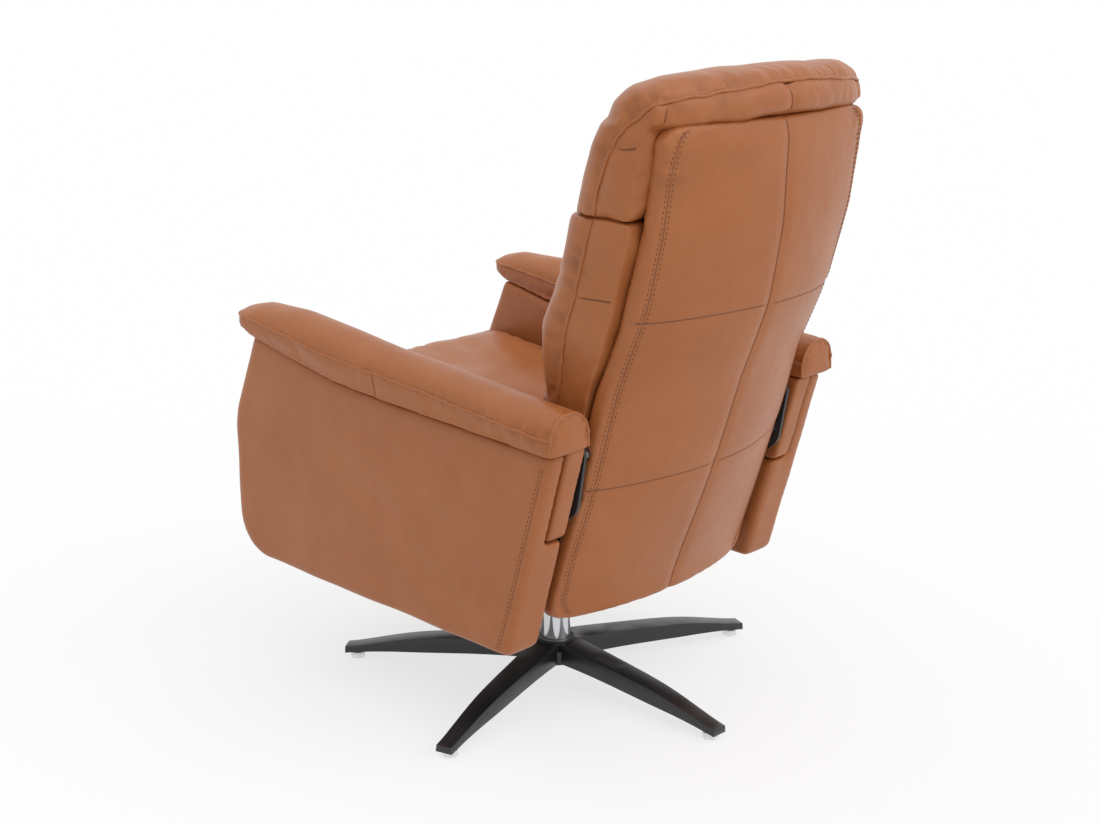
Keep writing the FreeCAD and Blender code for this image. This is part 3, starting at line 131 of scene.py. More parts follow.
class SeamSizes(bpy.types.PropertyGroup):
    """Seams, piping and stitches."""

    groove: length_property("Groove", "Half width of a seam's groove", 0.0013)
    depth: length_property("Depth", "Depth of a seam's groove", 0.0016)
    dip: length_property("Dip", "How far the padding dips towards a seam", 0.0022)
    dip_reach: length_property("Dip reach", "How far from a seam the padding dips", 0.011)
    piping: length_property("Piping", "Radius of the piping", 0.0024)
    pitch: length_property("Pitch", "Distance from stitch to stitch", 0.0072)
    stitch: length_property("Stitch", "Length of one stitch", 0.0044)
    thread: length_property("Thread", "Radius of the sewing thread", 0.00055)
    inset: length_property("Inset", "Distance from the shell's edge to its side seam", 0.015)


class StageLook(bpy.types.PropertyGroup):
    """Camera and light."""

    camera: place_property("Camera", "Place of the camera", (1.952, 1.845, 1.230))
    aim: place_property("Aim", "Point that the camera looks at", (0, 0, 0.4496))
    lens: share_property("Lens", "Focal length in millimetres", 57.09)
    shift: share_property("Shift", "Sideways shift of the lens", -0.00484)
    sky: share_property("Sky", "Strength of the light from all round", 0.60)
    key: share_property("Key", "Strength of the light from the rear", 0.75)
    top: share_property("Top", "Strength of the light from above", 0.8)
    floor_tone: share_property("Floor", "Lightness of the floor", 0.8)
    floor_glow: share_property("Floor white", "How much of the floor's white is free of shadow", 0.72)


def looks(context):
    """The four groups of sizes and colours."""
    scene = context.scene
    return scene.recliner_leather, scene.recliner_padding, scene.recliner_seams, scene.recliner_stage


# Mesh helpers.


def points_of(mesh):
    """Every vertex of a mesh as an array."""
    flat = np.zeros(len(mesh.vertices) * 3)
    mesh.vertices.foreach_get("co", flat)
    return flat.reshape(-1, 3)


def normals_of(mesh):
    """Every vertex normal of a mesh as an array."""
    flat = np.zeros(len(mesh.vertices) * 3)
    mesh.vertex_normals.foreach_get("vector", flat)
    return flat.reshape(-1, 3)


def move_to(mesh, points):
    """Put a mesh's vertices at new places."""
    mesh.vertices.foreach_set("co", np.asarray(points, float).ravel())
    mesh.update()


def new_piece(name, build):
    """A new object at the origin whose mesh is what build makes in a bmesh."""
    mesh = bpy.data.meshes.new(name)
    work = bmesh.new()
    build(work)
    bmesh.ops.recalc_face_normals(work, faces=work.faces)
    work.to_mesh(mesh)
    work.free()
    mesh.shade_smooth()
    piece = bpy.data.objects.new(name, mesh)
    bpy.context.scene.collection.objects.link(piece)
    return piece


def reshape(piece, change):
    """Run a change on a piece's mesh in a bmesh."""
    work = bmesh.new()
    work.from_mesh(piece.data)
    change(work)
    work.to_mesh(piece.data)
    work.free()
    piece.data.shade_smooth()
    piece.data.update()
    return piece


def copy_of(name, node):
    """A sound copy of a CAD node's mesh, with its loose triangles joined."""

    def build(work):
        work.from_mesh(frame["nodes"][node].data)
        bmesh.ops.remove_doubles(work, verts=work.verts, dist=1e-5)

    return new_piece(name, build)


def settled(piece):
    """Apply a piece's modifiers."""
    bpy.context.view_layer.update()
    graph = bpy.context.evaluated_depsgraph_get()
    made = bpy.data.meshes.new_from_object(piece.evaluated_get(graph))
    piece.modifiers.clear()
    old = piece.data
    piece.data = made
    bpy.data.meshes.remove(old)
    made.name = piece.name
    made.shade_smooth()
    return piece


def remeshed(piece, voxel):
    """Rebuild a closed piece as an even net of small squares."""
    change = piece.modifiers.new("even net", "REMESH")
    change.mode = "VOXEL"
    change.voxel_size = voxel
    return settled(piece)


def subdivided(piece):
    """Divide every face once, rounding as it goes."""
    change = piece.modifiers.new("finer", "SUBSURF")
    change.levels = change.render_levels = 1
    return settled(piece)


def smoothed(piece, times, factor=0.5):
    """Even out a piece, without moving its open edges."""

    def change(work):
        inner = [v for v in work.verts if not v.is_boundary]
        for _ in range(times):
            bmesh.ops.smooth_vert(
                work, verts=inner, factor=factor, use_axis_x=True, use_axis_y=True, use_axis_z=True
            )

    return reshape(piece, change)


def drawn_in(piece, amount):
    """Move every point inwards along its normal."""
    move_to(piece.data, points_of(piece.data) - normals_of(piece.data) * amount)
    return piece


def filled(piece, pressure, caps):
    """Swell a closed cover with cloth under pressure; caps says how far each point may move."""
    before = points_of(piece.data)
    cloth = piece.modifiers.new("filling", "CLOTH")
    rules = cloth.settings
    rules.quality = 5
    rules.mass = 0.3
    rules.tension_stiffness = 18
    rules.compression_stiffness = 18
    rules.shear_stiffness = 6
    rules.bending_stiffness = 1.5
    rules.use_pressure = True
    rules.uniform_pressure_force = pressure
    rules.effector_weights.gravity = 0
    cloth.collision_settings.use_collision = False
    cloth.point_cache.frame_start = 1
    cloth.point_cache.frame_end = FRAMES
    for step in range(1, FRAMES + 1):
        bpy.context.scene.frame_set(step)
    graph = bpy.context.evaluated_depsgraph_get()
    after = points_of(piece.evaluated_get(graph).data)
    piece.modifiers.clear()
    bpy.context.scene.frame_set(1)
    move = after - before
    far = np.linalg.norm(move, axis=1) + 1e-9
    kept = caps * np.tanh(far / np.maximum(caps, 1e-6)) / far
    move_to(piece.data, before + move * kept[:, None])
    return piece


def mirrored(piece, name):
    """A copy of a piece on the other side of the chair."""
    mesh = bpy.data.meshes.new(name)
    work = bmesh.new()
    work.from_mesh(piece.data)
    bmesh.ops.scale(work, verts=work.verts, vec=(-1, 1, 1))
    bmesh.ops.reverse_faces(work, faces=work.faces)
    work.to_mesh(mesh)
    work.free()
    twin = bpy.data.objects.new(name, mesh)
    bpy.context.scene.collection.objects.link(twin)
    for slot in piece.material_slots:
        twin.data.materials.append(slot.material)
    return twin


# Lines on a surface: seams, piping, stitches and gathers.


def smooth_line(points, step):
    """A smooth line through points, in even steps."""
    points = np.asarray([tuple(p) for p in points], float)
    steps = np.linalg.norm(np.diff(points, axis=0), axis=1)
    points = points[np.concatenate([[True], steps > 1e-5])]
    spans = np.linalg.norm(np.diff(points, axis=0), axis=1)
    along = np.concatenate([[0], np.cumsum(spans)])
    slopes = np.gradient(points, along, axis=0)
    wanted = np.linspace(0, along[-1], max(3, int(along[-1] / step) + 1))
    place = np.clip(np.searchsorted(along, wanted, side="right") - 1, 0, len(spans) - 1)
    span = spans[place][:, None]
    t = ((wanted - along[place]) / spans[place])[:, None]
    start, end = points[place], points[place + 1]
    leave, arrive = slopes[place] * span, slopes[place + 1] * span
    return (
        start * (1 + 2 * t) * (1 - t) ** 2
        + leave * t * (1 - t) ** 2
        + end * t * t * (3 - 2 * t)
        + arrive * t * t * (t - 1)
    )


def tree_of(piece):
    """A search tree of a piece's surface."""
    work = bmesh.new()
    work.from_mesh(piece.data)
    tree = BVHTree.FromBMesh(work)
    work.free()
    return tree


def laid_on(piece, points, lift=0.0):
    """A line dropped on a piece's nearest surface, raised by lift."""
    tree = tree_of(piece)
    laid = []
    for point in points:
        spot, normal, _, _ = tree.find_nearest(Vector(point))
        laid.append(spot + normal * lift)
    return np.array([tuple(p) for p in laid])


def nearness(points, line, reach):
    """For the points within reach of a line: which they are, how far from it and how far along it."""
    low, high = line.min(0) - reach, line.max(0) + reach
    inside = np.flatnonzero(np.all((points > low) & (points < high), axis=1))
    gaps, places = [], []
    for start in range(0, len(inside), 4000):
        chunk = points[inside[start : start + 4000]]
        spread = np.linalg.norm(chunk[:, None, :] - line[None, :, :], axis=2)
        nearest = spread.argmin(1)
        gaps.append(spread[np.arange(len(chunk)), nearest])
        places.append(nearest)
    if not gaps:
        return inside, np.zeros(0), np.zeros(0)
    gap, place = np.concatenate(gaps), np.concatenate(places)
    along = np.concatenate([[0], np.cumsum(np.linalg.norm(np.diff(line, axis=0), axis=1))])
    close = gap < reach
    return inside[close], gap[close], along[place[close]]


def refined(piece, lines, reach):
    """Divide the faces near lines once more."""
    places = points_of(piece.data)
    chosen = np.zeros(len(places), bool)
    for line in lines:
        chosen[nearness(places, line, reach)[0]] = True
    ends = np.zeros(len(piece.data.edges) * 2, int)
    piece.data.edges.foreach_get("vertices", ends)
    near = np.flatnonzero(chosen[ends.reshape(-1, 2)].all(1))

    def change(work):
        work.edges.ensure_lookup_table()
        edges = [work.edges[int(index)] for index in near]
        bmesh.ops.subdivide_edges(work, edges=edges, cuts=1, use_grid_fill=True)

    return reshape(piece, change)


def add_painted_crease_shade(piece, which, amount):
    """Mark folds, where the leather is darker."""
    mesh = piece.data
    attribute = mesh.attributes.get("crease") or mesh.attributes.new("crease", "FLOAT", "POINT")
    values = np.zeros(len(mesh.vertices), np.float32)
    attribute.data.foreach_get("value", values)
    values[which] = np.maximum(values[which], amount)
    attribute.data.foreach_set("value", values)


def sewn(piece, seams, sizes):
    """Sew seams into a piece, each a line with its depth, dip and darkness: the padding dips towards
    the seam and the leather meets in a narrow groove."""
    lines = [seam[0] for seam in seams]
    refined(piece, lines, sizes.dip_reach * 0.9)
    refined(piece, lines, sizes.groove * 3.2)
    for line, depth, dip, dark in seams:
        points, normals = points_of(piece.data), normals_of(piece.data)
        which, gap, _ = nearness(points, line, sizes.dip_reach * 2.5)
        shape = depth * sizes.depth * np.exp(-((gap / sizes.groove) ** 2))
        shape += dip * sizes.dip * np.exp(-((gap / sizes.dip_reach) ** 2))
        points[which] -= normals[which] * shape[:, None]
        move_to(piece.data, points)
        # Painted shade: the seam's groove is darkened in the leather's colour, as strongly as the seam's dark
        # value says.
        add_painted_crease_shade(piece, which, dark * np.exp(-((gap / (sizes.groove * 0.9)) ** 2)))
    return piece


def ripple(along, pitch, seed):
    """Smooth random heights from -1 to 1 along a line."""
    dice = np.random.default_rng(seed)
    count = int(along.max() / pitch) + 4 if len(along) else 4
    heights = dice.uniform(-1, 1, count)
    place = along / pitch
    low = place.astype(int)
    t = place - low
    t = t * t * (3 - 2 * t)
    return heights[low] * (1 - t) + heights[low + 1] * t


def gathered(piece, line, reach, depth, pitch, seed, side=None):
    """Pucker the leather beside a line in short folds that run away from it.

    Side is a direction that keeps the folds on one side of the line."""
    points, normals = points_of(piece.data), normals_of(piece.data)
    which, gap, along = nearness(points, line, reach * 2.2)
    if len(which) == 0:
        return piece
    weight = np.exp(-((gap / reach) ** 2)) * (1 - np.exp(-((gap / 0.004) ** 2)))
    if side is not None:
        nearest = line[np.array([np.abs(line - points[i]).sum(1).argmin() for i in which])]
        turn = (points[which] - nearest) @ np.asarray(side, float)
        weight *= np.clip(turn / 0.006, 0, 1)
    folds = 0.65 * ripple(along, pitch, seed) + 0.35 * ripple(along, pitch * 0.45, seed + 1)
    folds = np.sign(folds) * np.abs(folds) ** 0.8
    lengths = 0.55 + 0.45 * ripple(along, pitch * 1.3, seed + 2)
    points[which] += normals[which] * (depth * weight * folds * lengths)[:, None]
    move_to(piece.data, points)
    # Painted shade: the hollows of the folds are darkened in the leather's colour.
    add_painted_crease_shade(piece, which, np.clip(-folds, 0, 1) * weight * 0.45)
    return piece


def undulated(piece, depth, size, seed):
    """Give a piece the slow unevenness of leather over padding."""
    points, normals = points_of(piece.data), normals_of(piece.data)
    dice = np.random.default_rng(seed)
    total = np.zeros(len(points))
    for _ in range(14):
        direction = dice.normal(size=3)
        direction /= np.linalg.norm(direction)
        wave = 2 * math.pi / (size * dice.uniform(0.7, 1.8))
        total += np.sin(points @ direction * wave + dice.uniform(0, 2 * math.pi))
    points += normals * (depth * total / math.sqrt(14))[:, None]
    move_to(piece.data, points)
    return piece


def piping(name, line, radius, parent, material):
    """A thin round welt along a line."""
    curve = bpy.data.curves.new(name, "CURVE")
    curve.dimensions = "3D"
    curve.bevel_depth = radius
    curve.bevel_resolution = 2
    spline = curve.splines.new("POLY")
    spline.points.add(len(line) - 1)
    for point, place in zip(spline.points, line):
        point.co = (*place, 1)
    curve.use_fill_caps = True
    draft = bpy.data.objects.new(name, curve)
    bpy.context.scene.collection.objects.link(draft)
    bpy.context.view_layer.update()
    mesh = bpy.data.meshes.new_from_object(draft.evaluated_get(bpy.context.evaluated_depsgraph_get()))
    bpy.data.objects.remove(draft)
    bpy.data.curves.remove(curve)
    mesh.name = name
    for polygon in mesh.polygons:
        polygon.use_smooth = True
    mesh.materials.clear()
    mesh.materials.append(material)
    piece = bpy.data.objects.new(name, mesh)
    bpy.context.scene.collection.objects.link(piece)
    piece.parent = parent
    return piece


def stitches(name, parent, lines, sizes, material):
    """Rows of sewing stitches laid on a piece along lines."""
    tree = tree_of(parent)

    def build(work):
        for line in lines:
            row = smooth_line(line, sizes.pitch)
            for here, ahead in zip(row, row[1:]):
                middle = Vector((here + ahead) / 2)
                spot, normal, _, _ = tree.find_nearest(middle)
                along = Vector(ahead - here).normalized()
                across = normal.cross(along).normalized()
                made = bmesh.ops.create_uvsphere(work, u_segments=6, v_segments=5, radius=1)
                for vertex in made["verts"]:
                    local = vertex.co.copy()
                    vertex.co = (
                        spot
                        + along * (local.z * sizes.stitch / 2)
                        + across * (local.x * sizes.thread)
                        + normal * (local.y * sizes.thread + sizes.thread * 0.35)
                    )

    piece = new_piece(name, build)
    piece.data.materials.append(material)
    piece.parent = parent
    return piece


# Shader helpers and materials.


class Flow:
    """An output of a shader tree on which sums are written as plain sums."""

    def __init__(self, tree, socket=None):
        self.tree = tree
        self.socket = socket

    def node(self, kind, settings, sockets, output=0):
        """Any other node: its type, its settings, then what goes into its sockets."""
        made = self.tree.nodes.new(kind)
        for name, setting in settings.items():
            setattr(made, name, setting)
        for name, source in sockets.items():
            if isinstance(source, Flow):
                self.tree.links.new(source.socket, made.inputs[name])
            else:
                made.inputs[name].default_value = source
        return Flow(self.tree, made.outputs[output])

    def maths(self, operation, other=0.0):
        """One step of arithmetic with a number or another output."""
        return self.node("ShaderNodeMath", {"operation": operation}, {0: self, 1: other})

    def __add__(self, other):
        return self.maths("ADD", other)

    def __sub__(self, other):
        return self.maths("SUBTRACT", other)

    def __rsub__(self, other):
        return self.node("ShaderNodeMath", {"operation": "SUBTRACT"}, {0: other, 1: self})

    def __mul__(self, other):
        return self.maths("MULTIPLY", other)

    def __pow__(self, other):
        return self.maths("POWER", other)

    __radd__ = __add__
    __rmul__ = __mul__

    def limited(self, low, high):
        """Kept between two numbers."""
        return self.maths("MAXIMUM", low).maths("MINIMUM", high)

    def blend(self, first, second):
        """A colour between two, by this output."""
        return self.node("ShaderNodeMix", {"data_type": "RGBA"}, {0: self, 6: first, 7: second}, 2)


def new_material(name, surface):
    """A material whose nodes a function lays out; it gets the tree's flow and the shader."""
    made = bpy.data.materials.new(name)
    made.use_nodes = True
    tree = made.node_tree
    shader = tree.nodes["Principled BSDF"]
    surface(Flow(tree), tree, shader)
    return made


def place_flow(flow):
    """Object coordinates."""
    return flow.node("ShaderNodeTexCoord", {}, {}, "Object")


def noise(flow, place, size, detail=2.0, rough=0.5):
    """Soft random values from 0 to 1 with one size of patch."""
    sockets = {"Vector": place, "Scale": 1 / size, "Detail": detail, "Roughness": rough}
    return flow.node("ShaderNodeTexNoise", {}, sockets, "Fac")


def stretched(flow, place, x, y, z):
    """Coordinates scaled along each axis."""
    return flow.node("ShaderNodeMapping", {}, {"Vector": place, "Scale": (x, y, z)})


def bump(flow, height, depth, strength=1.0):
    """A normal from a height of 0 to 1."""
    sockets = {"Height": height, "Distance": depth, "Strength": strength}
    return flow.node("ShaderNodeBump", {}, sockets, "Normal")


def join(tree, flow, shader, socket):
    """Connect a flow to a shader's socket."""
    tree.links.new(flow.socket, shader.inputs[socket])


def leather_material(look):
    """Soft gloss leather with a fine pebble grain, darker in the folds."""

    def surface(flow, tree, shader):
        place = place_flow(flow)
        crease = flow.node("ShaderNodeAttribute", {"attribute_name": "crease"}, {}, "Fac")
        patches = noise(flow, place, 0.11, 3)
        mottle = noise(flow, place, 0.016, 3)
        mix = ((patches - 0.5) * 1.5 + (mottle - 0.5) * 0.7 + 0.3).limited(0, 1)
        tone = mix.blend((*look.tone, 1), (*look.pale, 1))
        # Painted shade: the colour goes towards the deep tone where the mask marks folds and seams.
        join(tree, crease.limited(0, 1).blend(tone, (*look.deep, 1)), shader, "Base Color")
        cells = flow.node(
            "ShaderNodeTexVoronoi", {"feature": "SMOOTH_F1"},
            {"Vector": place, "Scale": 1 / look.grain_size, "Smoothness": 0.6}, "Distance",
        )
        pores = noise(flow, place, look.grain_size * 0.45, 2)
        rough = (mottle - 0.5) * 0.10 + (cells * 0.10) + (look.roughness - 0.04)
        join(tree, (rough + crease * 0.2).limited(0.05, 1), shader, "Roughness")
        grain = cells * 0.75 + pores * 0.25
        wave = noise(flow, place, look.wave_size, 1)
        slow = bump(flow, wave, look.wave_depth * 10, 0.35)
        pebbles = {"Height": grain, "Distance": look.grain_depth, "Strength": 0.9, "Normal": slow}
        fine = flow.node("ShaderNodeBump", {}, pebbles, "Normal")
        join(tree, fine, shader, "Normal")
        shader.inputs["Coat Weight"].default_value = look.coat
        shader.inputs["Coat Roughness"].default_value = 0.32
        shader.inputs["Specular IOR Level"].default_value = 0.36

    return new_material("cover_leather", surface)


def thread_material(look):
    """Twisted sewing thread."""

    def surface(flow, tree, shader):
        place = place_flow(flow)
        strands = {"Vector": place, "Scale": 700.0}
        twist = flow.node("ShaderNodeTexWave", {"bands_direction": "DIAGONAL"}, strands, "Fac")
        dark = tuple(c * 0.6 for c in look.thread)
        join(tree, twist.blend((*dark, 1), (*look.thread, 1)), shader, "Base Color")
        join(tree, bump(flow, twist, 0.0002), shader, "Normal")
        shader.inputs["Roughness"].default_value = 0.7

    return new_material("sewing_thread", surface)


def paint_material(name, tone, rough):
    """Satin paint on metal, with a faint orange peel and rubbed patches."""

    def surface(flow, tree, shader):
        place = place_flow(flow)
        patches = noise(flow, place, 0.05, 4)
        light = tuple(c * 1.5 + 0.004 for c in tone)
        join(tree, patches.blend((*tone, 1), (*light, 1)), shader, "Base Color")
        join(tree, (patches - 0.5) * 0.16 + rough, shader, "Roughness")
        join(tree, bump(flow, noise(flow, place, 0.0016, 2), 0.00008), shader, "Normal")
        shader.inputs["Coat Weight"].default_value = 0.15
        shader.inputs["Coat Roughness"].default_value = 0.3

    return new_material(name, surface)


def chrome_material():
    """Bright plated steel with faint smudges."""

    def surface(flow, tree, shader):
        place = place_flow(flow)
        smudge = noise(flow, place, 0.02, 4)
        join(tree, smudge.blend((0.62, 0.63, 0.65, 1), (0.72, 0.73, 0.75, 1)), shader, "Base Color")
        join(tree, (smudge * 0.10) + 0.07, shader, "Roughness")
        shader.inputs["Metallic"].default_value = 1.0

    return new_material("column_chrome", surface)


def steel_material():
    """Rolled bright steel with fine lines."""

    def surface(flow, tree, shader):
        place = place_flow(flow)
        lines = noise(flow, stretched(flow, place, 1, 0.06, 1), 0.0015, 3)
        join(tree, lines.blend((0.36, 0.37, 0.38, 1), (0.50, 0.51, 0.52, 1)), shader, "Base Color")
        join(tree, lines * 0.2 + 0.28, shader, "Roughness")
        join(tree, bump(flow, lines, 0.0001), shader, "Normal")
        shader.inputs["Metallic"].default_value = 1.0

    return new_material("bright_steel", surface)


def plastic_material(name, tone, rough, clear=0.0):
    """Moulded plastic with a fine texture; clear is how much light goes through it."""

    def surface(flow, tree, shader):
        place = place_flow(flow)
        fine = noise(flow, place, 0.0009, 2)
        soft = noise(flow, place, 0.02, 2)
        light = tuple(min(1, c * 1.25) for c in tone)
        join(tree, soft.blend((*tone, 1), (*light, 1)), shader, "Base Color")
        join(tree, fine * 0.12 + rough, shader, "Roughness")
        join(tree, bump(flow, fine, 0.00005), shader, "Normal")
        shader.inputs["Transmission Weight"].default_value = clear
        shader.inputs["IOR"].default_value = 1.47

    return new_material(name, surface)


def plywood_material():
    """Birch plywood: long grain on its faces and thin layers at its edges."""

    def surface(flow, tree, shader):
        place = place_flow(flow)
        grain = noise(flow, stretched(flow, place, 1, 0.08, 0.5), 0.004, 4, 0.6)
        rings = flow.node(
            "ShaderNodeTexWave", {"bands_direction": "Z"},
            {"Vector": place, "Scale": 60.0, "Distortion": 3.0, "Detail": 2.0}, "Fac",
        )
        mix = (grain * 0.7 + rings * 0.3).limited(0, 1)
        join(tree, mix.blend((0.47, 0.30, 0.15, 1), (0.67, 0.49, 0.29, 1)), shader, "Base Color")
        join(tree, grain * 0.15 + 0.55, shader, "Roughness")
        join(tree, bump(flow, grain, 0.0003), shader, "Normal")

    return new_material("plywood", surface)


def weave_material(name, tone, size):
    """Woven cloth or webbing: two crossing sets of threads."""

    def surface(flow, tree, shader):
        place = place_flow(flow)
        warp = {"Vector": place, "Scale": 0.3 / size, "Distortion": 0.4}
        weft = {"Vector": stretched(flow, place, 0, 1, 1), "Scale": 0.3 / size, "Distortion": 0.4}
        across = flow.node("ShaderNodeTexWave", {"bands_direction": "X"}, warp, "Fac")
        up = flow.node("ShaderNodeTexWave", {"bands_direction": "DIAGONAL"}, weft, "Fac")
        threads = (across * up) ** 0.6
        fuzz = noise(flow, place, size * 4, 3)
        dark = tuple(c * 0.45 for c in tone)
        join(tree, (threads * 0.8 + fuzz * 0.2).blend((*dark, 1), (*tone, 1)), shader, "Base Color")
        join(tree, bump(flow, threads, size * 0.5), shader, "Normal")
        shader.inputs["Roughness"].default_value = 0.85

    return new_material(name, surface)


NODE_FINISHES = {
    "base_paint": ["star_base"],
    "glide_plastic": ["floor_glides"],
    "column_chrome": ["column_tube"],
    "bush_plastic": ["upper_bush", "lower_bush", "thrust_ring", "slide_blocks"],
    "bright_steel": [
        "spindle", "spindle_clip", "plate_bolts", "arm_bolts", "pivot_pins", "pivot_washers", "lever_pins",
        "bracket_spacers", "bracket_bolts", "carriage_pins", "slide_studs", "legrest_pins", "crank_pins",
    ],
    "frame_paint": [
        "swivel_plate", "front_cross_tube", "rear_cross_tube", "left_side_rail", "right_side_rail",
        "left_yoke_arm", "right_yoke_arm", "left_back_bracket", "right_back_bracket",
        "left_drive_link", "right_drive_link", "left_carriage_side", "right_carriage_side",
        "carriage_bars", "left_legrest_arm", "right_legrest_arm",
    ],
    "plywood": ["back_frame", "seat_deck", "legrest_board", "left_arm_board", "right_arm_board"],
    "webbing": ["back_straps", "seat_straps"],
    "lining_cloth": ["back_lining"],
}

MATERIALS = {}


def make_materials(context):
    """Every material of the object, once."""
    leather, _, _, _ = looks(context)
    MATERIALS["cover_leather"] = leather_material(leather)
    MATERIALS["sewing_thread"] = thread_material(leather)
    MATERIALS["base_paint"] = paint_material("base_paint", (0.010, 0.010, 0.011), 0.36)
    MATERIALS["frame_paint"] = paint_material("frame_paint", (0.016, 0.016, 0.018), 0.45)
    MATERIALS["column_chrome"] = chrome_material()
    MATERIALS["bright_steel"] = steel_material()
    MATERIALS["glide_plastic"] = plastic_material("glide_plastic", (0.75, 0.77, 0.78), 0.12, 0.75)
    MATERIALS["bush_plastic"] = plastic_material("bush_plastic", (0.03, 0.03, 0.032), 0.4)
    MATERIALS["plywood"] = plywood_material()
    MATERIALS["webbing"] = weave_material("webbing", (0.06, 0.06, 0.065), 0.0022)
    MATERIALS["lining_cloth"] = weave_material("lining_cloth", (0.035, 0.033, 0.032), 0.0012)


def leathered(piece, body, fill, *nodes):
    """Finish a padded piece: its leather, its body, its declaration and the nodes it stands for."""
    if not piece.data.materials:
        piece.data.materials.append(MATERIALS["cover_leather"])
    if "crease" not in piece.data.attributes:
        piece.data.attributes.new("crease", "FLOAT", "POINT")
    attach(piece, body)
    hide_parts(*nodes)
    return piece


def welt(name, parent, line, sizes, lift=0.3):
    """Piping that lies half sunk on a padded piece."""
    laid = laid_on(parent, line, sizes.piping * lift)
    laid[1:-1] = (laid[:-2] + 2 * laid[1:-1] + laid[2:]) / 4
    made = piping(name, laid, sizes.piping, parent, MATERIALS["cover_leather"])
    made.data.attributes.new("crease", "FLOAT", "POINT")
    return made


def thread(name, parent, lines, sizes):
    """Topstitching on a padded piece."""
    made = stitches(name, parent, lines, sizes, MATERIALS["sewing_thread"])
    return made


def twin_of(piece, body, fill, *nodes):
    """The same padded piece, with its piping and stitches, on the other side of the chair."""
    twin = mirrored(piece, piece.name.replace("left_", "right_"))
    leathered(twin, body, fill, *nodes)
    for part in list(piece.children):
        other = mirrored(part, part.name.replace("left_", "right_"))
        other.parent = twin
    return twin


# Guide lines, in metres in the frame's own coordinates.

# Side piping of the back and head cushions: height, y and half width.
CUSHION_SIDE = [
    (0.402, 0.178, 0.226), (0.470, 0.194, 0.228), (0.565, 0.225, 0.237), (0.665, 0.252, 0.249),
    (0.745, 0.278, 0.250), (0.830, 0.301, 0.250), (0.880, 0.314, 0.250), (0.925, 0.331, 0.250),
]

# Arm rest: y, underside, piping and ridge.
PAD_LINES = [
    (-0.407, 0.597, 0.603, 0.610), (-0.390, 0.588, 0.604, 0.618), (-0.356, 0.573, 0.604, 0.625),
    (-0.269, 0.554, 0.591, 0.624), (-0.157, 0.534, 0.575, 0.611), (-0.053, 0.526, 0.567, 0.597),
    (0.185, 0.515, 0.545, 0.579), (0.304, 0.509, 0.535, 0.573),
]


def side_line(low, high):
    """The line of the cushions' side piping between two heights."""
    heights = [low] + [row[0] for row in CUSHION_SIDE if low < row[0] < high] + [high]
    levels, depths, halves = zip(*CUSHION_SIDE)
    return [(float(np.interp(z, levels, halves)), float(np.interp(z, levels, depths)), z) for z in heights]


def flipped(line):
    """A line on the other side of the chair."""
    return np.asarray(line, float) * (-1, 1, 1)


# Pieces.


def arm_panels(context):
    """Padded sides around the arm boards, with a topstitched seam near the outer rear edge."""
    _, padding, sizes, _ = looks(context)
    low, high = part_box("left_arm_panel")
    _, notch_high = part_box("left_arm_tail")
    middle = (low.x + high.x) / 2
    keep = notch_high.x + 0.004
    panel = copy_of("left_arm_cover", "left_arm_panel")

    def widen(work):
        """Keep the outer slice, draw it out to the middle and mirror it."""
        everything = list(work.verts) + list(work.edges) + list(work.faces)
        bmesh.ops.bisect_plane(
            work, geom=everything, plane_co=(keep, 0, 0), plane_no=(-1, 0, 0), clear_outer=True
        )
        rim = [e for e in work.edges if e.is_boundary and all(abs(v.co.x - keep) < 1e-5 for v in e.verts)]
        made = bmesh.ops.extrude_edge_only(work, edges=rim)["geom"]
        for vertex in (item for item in made if isinstance(item, bmesh.types.BMVert)):
            vertex.co.x = middle
        half = list(work.verts) + list(work.edges) + list(work.faces)
        copy = bmesh.ops.duplicate(work, geom=half)["geom"]
        moved = [item for item in copy if isinstance(item, bmesh.types.BMVert)]
        for vertex in moved:
            vertex.co.x = 2 * middle - vertex.co.x
        bmesh.ops.reverse_faces(work, faces=[item for item in copy if isinstance(item, bmesh.types.BMFace)])
        bmesh.ops.remove_doubles(work, verts=work.verts, dist=1e-5)

    reshape(panel, widen)
    cutter = notch_block("notch_block")
    change = panel.modifiers.new("notch", "BOOLEAN")
    change.operation = "DIFFERENCE"
    change.solver = "EXACT"
    change.object = cutter
    settled(panel)
    bpy.data.objects.remove(cutter)
    remeshed(panel, padding.voxel)
    smoothed(panel, 3)
    drawn_in(panel, padding.tuck * 0.6)
    undulated(panel, 0.0005, 0.12, 5)
    subdivided(panel)
    rear = rear_edge_line(high.x)
    seam = laid_on(panel, smooth_line(rear, 0.002))
    sewn(panel, [(seam, 0.7, 0.35, 0.55)], sizes)
    leathered(panel, "chair_frame", 0.9, "left_arm_panel", "left_arm_board")
    ahead = seam + np.array([0, -0.0045, 0])
    thread("left_arm_cover_stitches", panel, [ahead], sizes)
    twin_of(panel, "chair_frame", 0.9, "right_arm_panel", "right_arm_board")


def rear_edge_line(side):
    """The seam line a little in front of the arm's outer rear edge, from its foot to its top."""
    outer = points_of(frame["nodes"]["left_arm_panel"].data)
    rear = outer[(outer[:, 0] > side - 0.002)]
    top = rear[rear[:, 1].argmax()]
    foot = rear[(rear[:, 2] - rear[:, 1] * 0.5).argmin()]
    inset = 0.006
    return [
        (side, foot[1] - inset * 1.2, foot[2] + 0.004),
        (side, foot[1] * 0.62 + top[1] * 0.38 - inset, foot[2] * 0.62 + top[2] * 0.38),
        (side, foot[1] * 0.3 + top[1] * 0.7 - inset, foot[2] * 0.3 + top[2] * 0.7),
        (side, top[1] - inset * 1.6, top[2] - 0.012),
    ]


